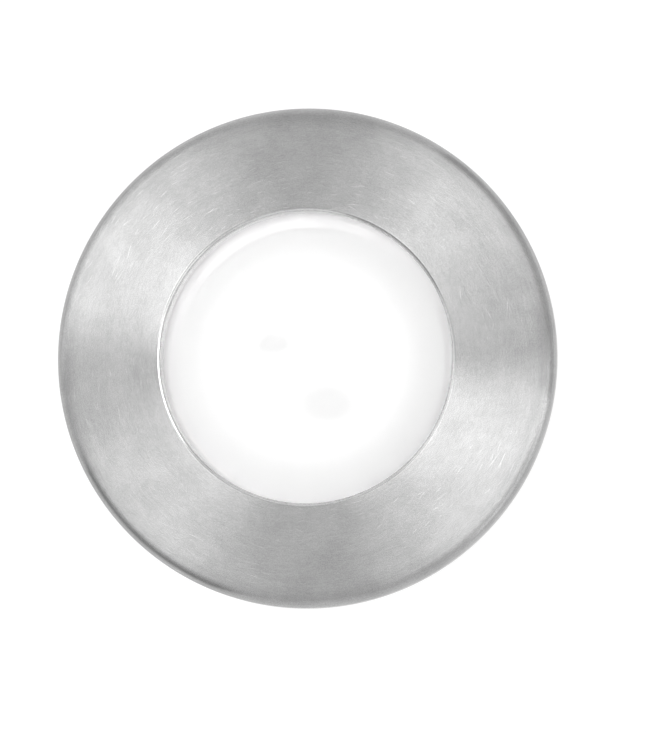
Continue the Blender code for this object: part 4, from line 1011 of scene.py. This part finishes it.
def shows_itself(tree):
    """1 for the rays that see a surface: from the camera, off metal and through glass."""
    rays = add(tree, "LightPath").outputs
    seen = calc(tree, "MAXIMUM", rays["Is Camera Ray"], rays["Is Glossy Ray"])
    return calc(tree, "MAXIMUM", seen, rays["Is Transmission Ray"])


def round_sheet(name, radius, material):
    """A flat disc that belongs to the studio."""
    form = bmesh.new()
    bmesh.ops.create_circle(form, cap_ends=True, radius=radius, segments=SHEET_STEPS)
    mesh = bpy.data.meshes.new(name)
    form.to_mesh(mesh)
    form.free()
    mesh.materials.append(material)
    made = bpy.data.objects.new(name, mesh)
    bpy.context.scene.collection.objects.link(made)
    return made


world = bpy.data.worlds.new("studio_white")
bpy.context.scene.world = world
world.use_nodes = True
tree = world.node_tree
background = tree.nodes["Background"]
background.inputs["Color"].default_value = (1, 1, 1, 1)
strength = spread(tree, shows_itself(tree), 0.0, 1.0, SKY_ON_OBJECT, 1.0, smooth=False)
tree.links.new(strength, background.inputs["Strength"])

floor_white, tree, shader = paint("floor_white", FLOOR_WHITE, MATT)
light_up(tree, shader, calc(tree, "MULTIPLY", shows_itself(tree), FLOOR_GLOW))
floor = round_sheet("floor", FLOOR_RADIUS, floor_white)
floor.location.z = -FLOOR_DROP


# --- Camera ----------------------------------------------------------------------------
# A long lens looks down on the ring, leaning a little to the lower right, and is aimed just
# beside the ring's centre.

CENTRE = Vector((0, 0, RING_TOP))
SIGHT = Vector((0.00240, -0.00120, 0.0657))
FRAME_HEIGHT = 0.1111
DISTANCE = 1.0
SENSOR = 36.0
TILT = 6.5
TOWARDS = -38.0
NORTH = Vector((0, 1, 0))


def bearing(tilt, azimuth):
    """The direction that leans tilt degrees from straight up towards azimuth."""
    t, a = math.radians(tilt), math.radians(azimuth)
    return Vector((math.sin(t) * math.cos(a), math.sin(t) * math.sin(a), math.cos(t)))


def aim(thing, place, target, up):
    """Turns a thing at place to look at target, with up towards its top."""
    back = (place - target).normalized()
    right = up.cross(back).normalized()
    turn = Matrix((right, back.cross(right), back)).transposed().to_4x4()
    thing.matrix_world = Matrix.Translation(place) @ turn


eye = bpy.data.cameras.new("camera")
eye.sensor_width = SENSOR
eye.lens = SENSOR * DISTANCE / FRAME_HEIGHT
camera = bpy.data.objects.new("camera", eye)
bpy.context.scene.collection.objects.link(camera)
aim(camera, SIGHT + DISTANCE * bearing(TILT, TOWARDS), SIGHT, NORTH)
bpy.context.scene.camera = camera
bpy.context.scene.view_settings.view_transform = "Standard"


# --- Light panel -----------------------------------------------------------------------
# A round graded panel hangs square to the mirrored line of sight. Each half of it has two
# bright sectors, which the brushing spreads into the fans on the ring.

PANEL_DISTANCE = 1.5
PANEL_RADIUS = 1.1
PANEL_WHITE = (0.8, 0.8, 0.8)
PANEL_BASE = 0.42
PANEL_PEAK = 3.15
PANEL_STOP_SCALE = 0.8
# How far from its centre the sectors set in, and then the edge.
PANEL_MIDDLE = (0.2, 0.5)
PANEL_OUTSIDE = (0.6, 1.0)
HALF_TURN = 180
# Degrees round each half, how bright the sector is, the share of light its edge keeps.
PANEL_GLOW = [
    (0, 0.0, 0.9),
    (10, 0.10, 0.5),
    (20, 0.36, 0.15),
    (30, 0.66, 0.0),
    (40, 0.84, 0.0),
    (50, 0.90, 0.0),
    (60, 0.66, 0.0),
    (70, 0.25, 0.2),
    (80, 0.02, 0.8),
    (95, 0.0, 1.0),
    (105, 0.05, 0.8),
    (115, 0.32, 0.2),
    (125, 0.66, 0.0),
    (140, 1.0, 0.0),
    (152, 1.09, 0.3),
    (164, 1.05, 0.25),
    (170, 0.72, 0.6),
    (174, 0.22, 0.9),
    (177, 0.0, 1.0),
    (180, 0.0, 0.9),
]

panel_white, tree, shader = paint("panel_white", PANEL_WHITE, MATT)
east, north, _ = own_place(tree)
turn = calc(tree, "ADD", calc(tree, "ARCTAN2", north, east), math.pi)
turn = calc(tree, "FRACT", calc(tree, "DIVIDE", turn, math.pi))
ramp = add(tree, "ValToRGB")
tree.links.new(turn, ramp.inputs[0])
stops = ramp.color_ramp.elements
stops.remove(stops[1])
for degrees, inner, outer in PANEL_GLOW:
    stop = stops.new(degrees / HALF_TURN) if degrees else stops[0]
    stop.position = degrees / HALF_TURN
    stop.color = (PANEL_STOP_SCALE * inner, outer, 0, 1)
levels = add(tree, "SeparateColor")
tree.links.new(ramp.outputs["Color"], levels.inputs[0])
out = far_out(tree, east, north)
sector = calc(tree, "MULTIPLY", levels.outputs[0], spread(tree, out, *PANEL_MIDDLE))
level = calc(tree, "MULTIPLY_ADD", sector, PANEL_PEAK / PANEL_STOP_SCALE, PANEL_BASE)
rim = calc(tree, "SUBTRACT", levels.outputs[1], 1.0)
rim = calc(tree, "MULTIPLY_ADD", rim, spread(tree, out, *PANEL_OUTSIDE), 1.0)
light_up(tree, shader, calc(tree, "MULTIPLY", level, rim))
panel = round_sheet("light_panel", PANEL_RADIUS, panel_white)
aim(panel, CENTRE + PANEL_DISTANCE * bearing(TILT, TOWARDS + HALF_TURN), CENTRE, NORTH)
panel.visible_camera = False


# --- Low cards -------------------------------------------------------------------------
# Matt boards that stand round the light, for its rounded shoulder and the lip of its hole
# to mirror. They show in reflections only.

CARD_BLACK = (0.05, 0.05, 0.05)
CARD_CLOUD = 4.0
CARD_UNEVEN = 0.05
FAR = 0.7
NEAR = 0.062


def card(name, azimuth, tilt, distance, wide, tall, level):
    """A small card, square to the line from the ring's centre."""
    mesh = bpy.data.meshes.new(name)
    w, h = wide / 2, tall / 2
    mesh.from_pydata([(-w, -h, 0), (w, -h, 0), (w, h, 0), (-w, h, 0)], [], [(0, 1, 2, 3)])
    made, tree, shader = paint(name, CARD_BLACK, MATT)
    low, high = (1 - CARD_UNEVEN) * level, (1 + CARD_UNEVEN) * level
    light_up(tree, shader, spread(tree, noise(tree, CARD_CLOUD, detail=1.0), 0.0, 1.0, low, high))
    mesh.materials.append(made)
    board = bpy.data.objects.new(name, mesh)
    bpy.context.scene.collection.objects.link(board)
    aim(board, CENTRE + distance * bearing(tilt, azimuth), CENTRE, Vector((0, 0, 1)))
    board.visible_camera = False
    board.visible_diffuse = False
    board.visible_transmission = False
    board.visible_shadow = False


card("flag_right", 26, 76, NEAR, 0.080, 0.030, 0.7)
card("flag_lower_left", 222, 60, FAR, 0.54, 0.46, 0.42)
card("card_right", 15, 52, FAR, 0.55, 0.34, 4.6)
card("card_upper_left", 155, 58, FAR, 0.50, 0.26, 1.6)
card("card_lower_right", 335, 58, FAR, 0.50, 0.26, 1.6)
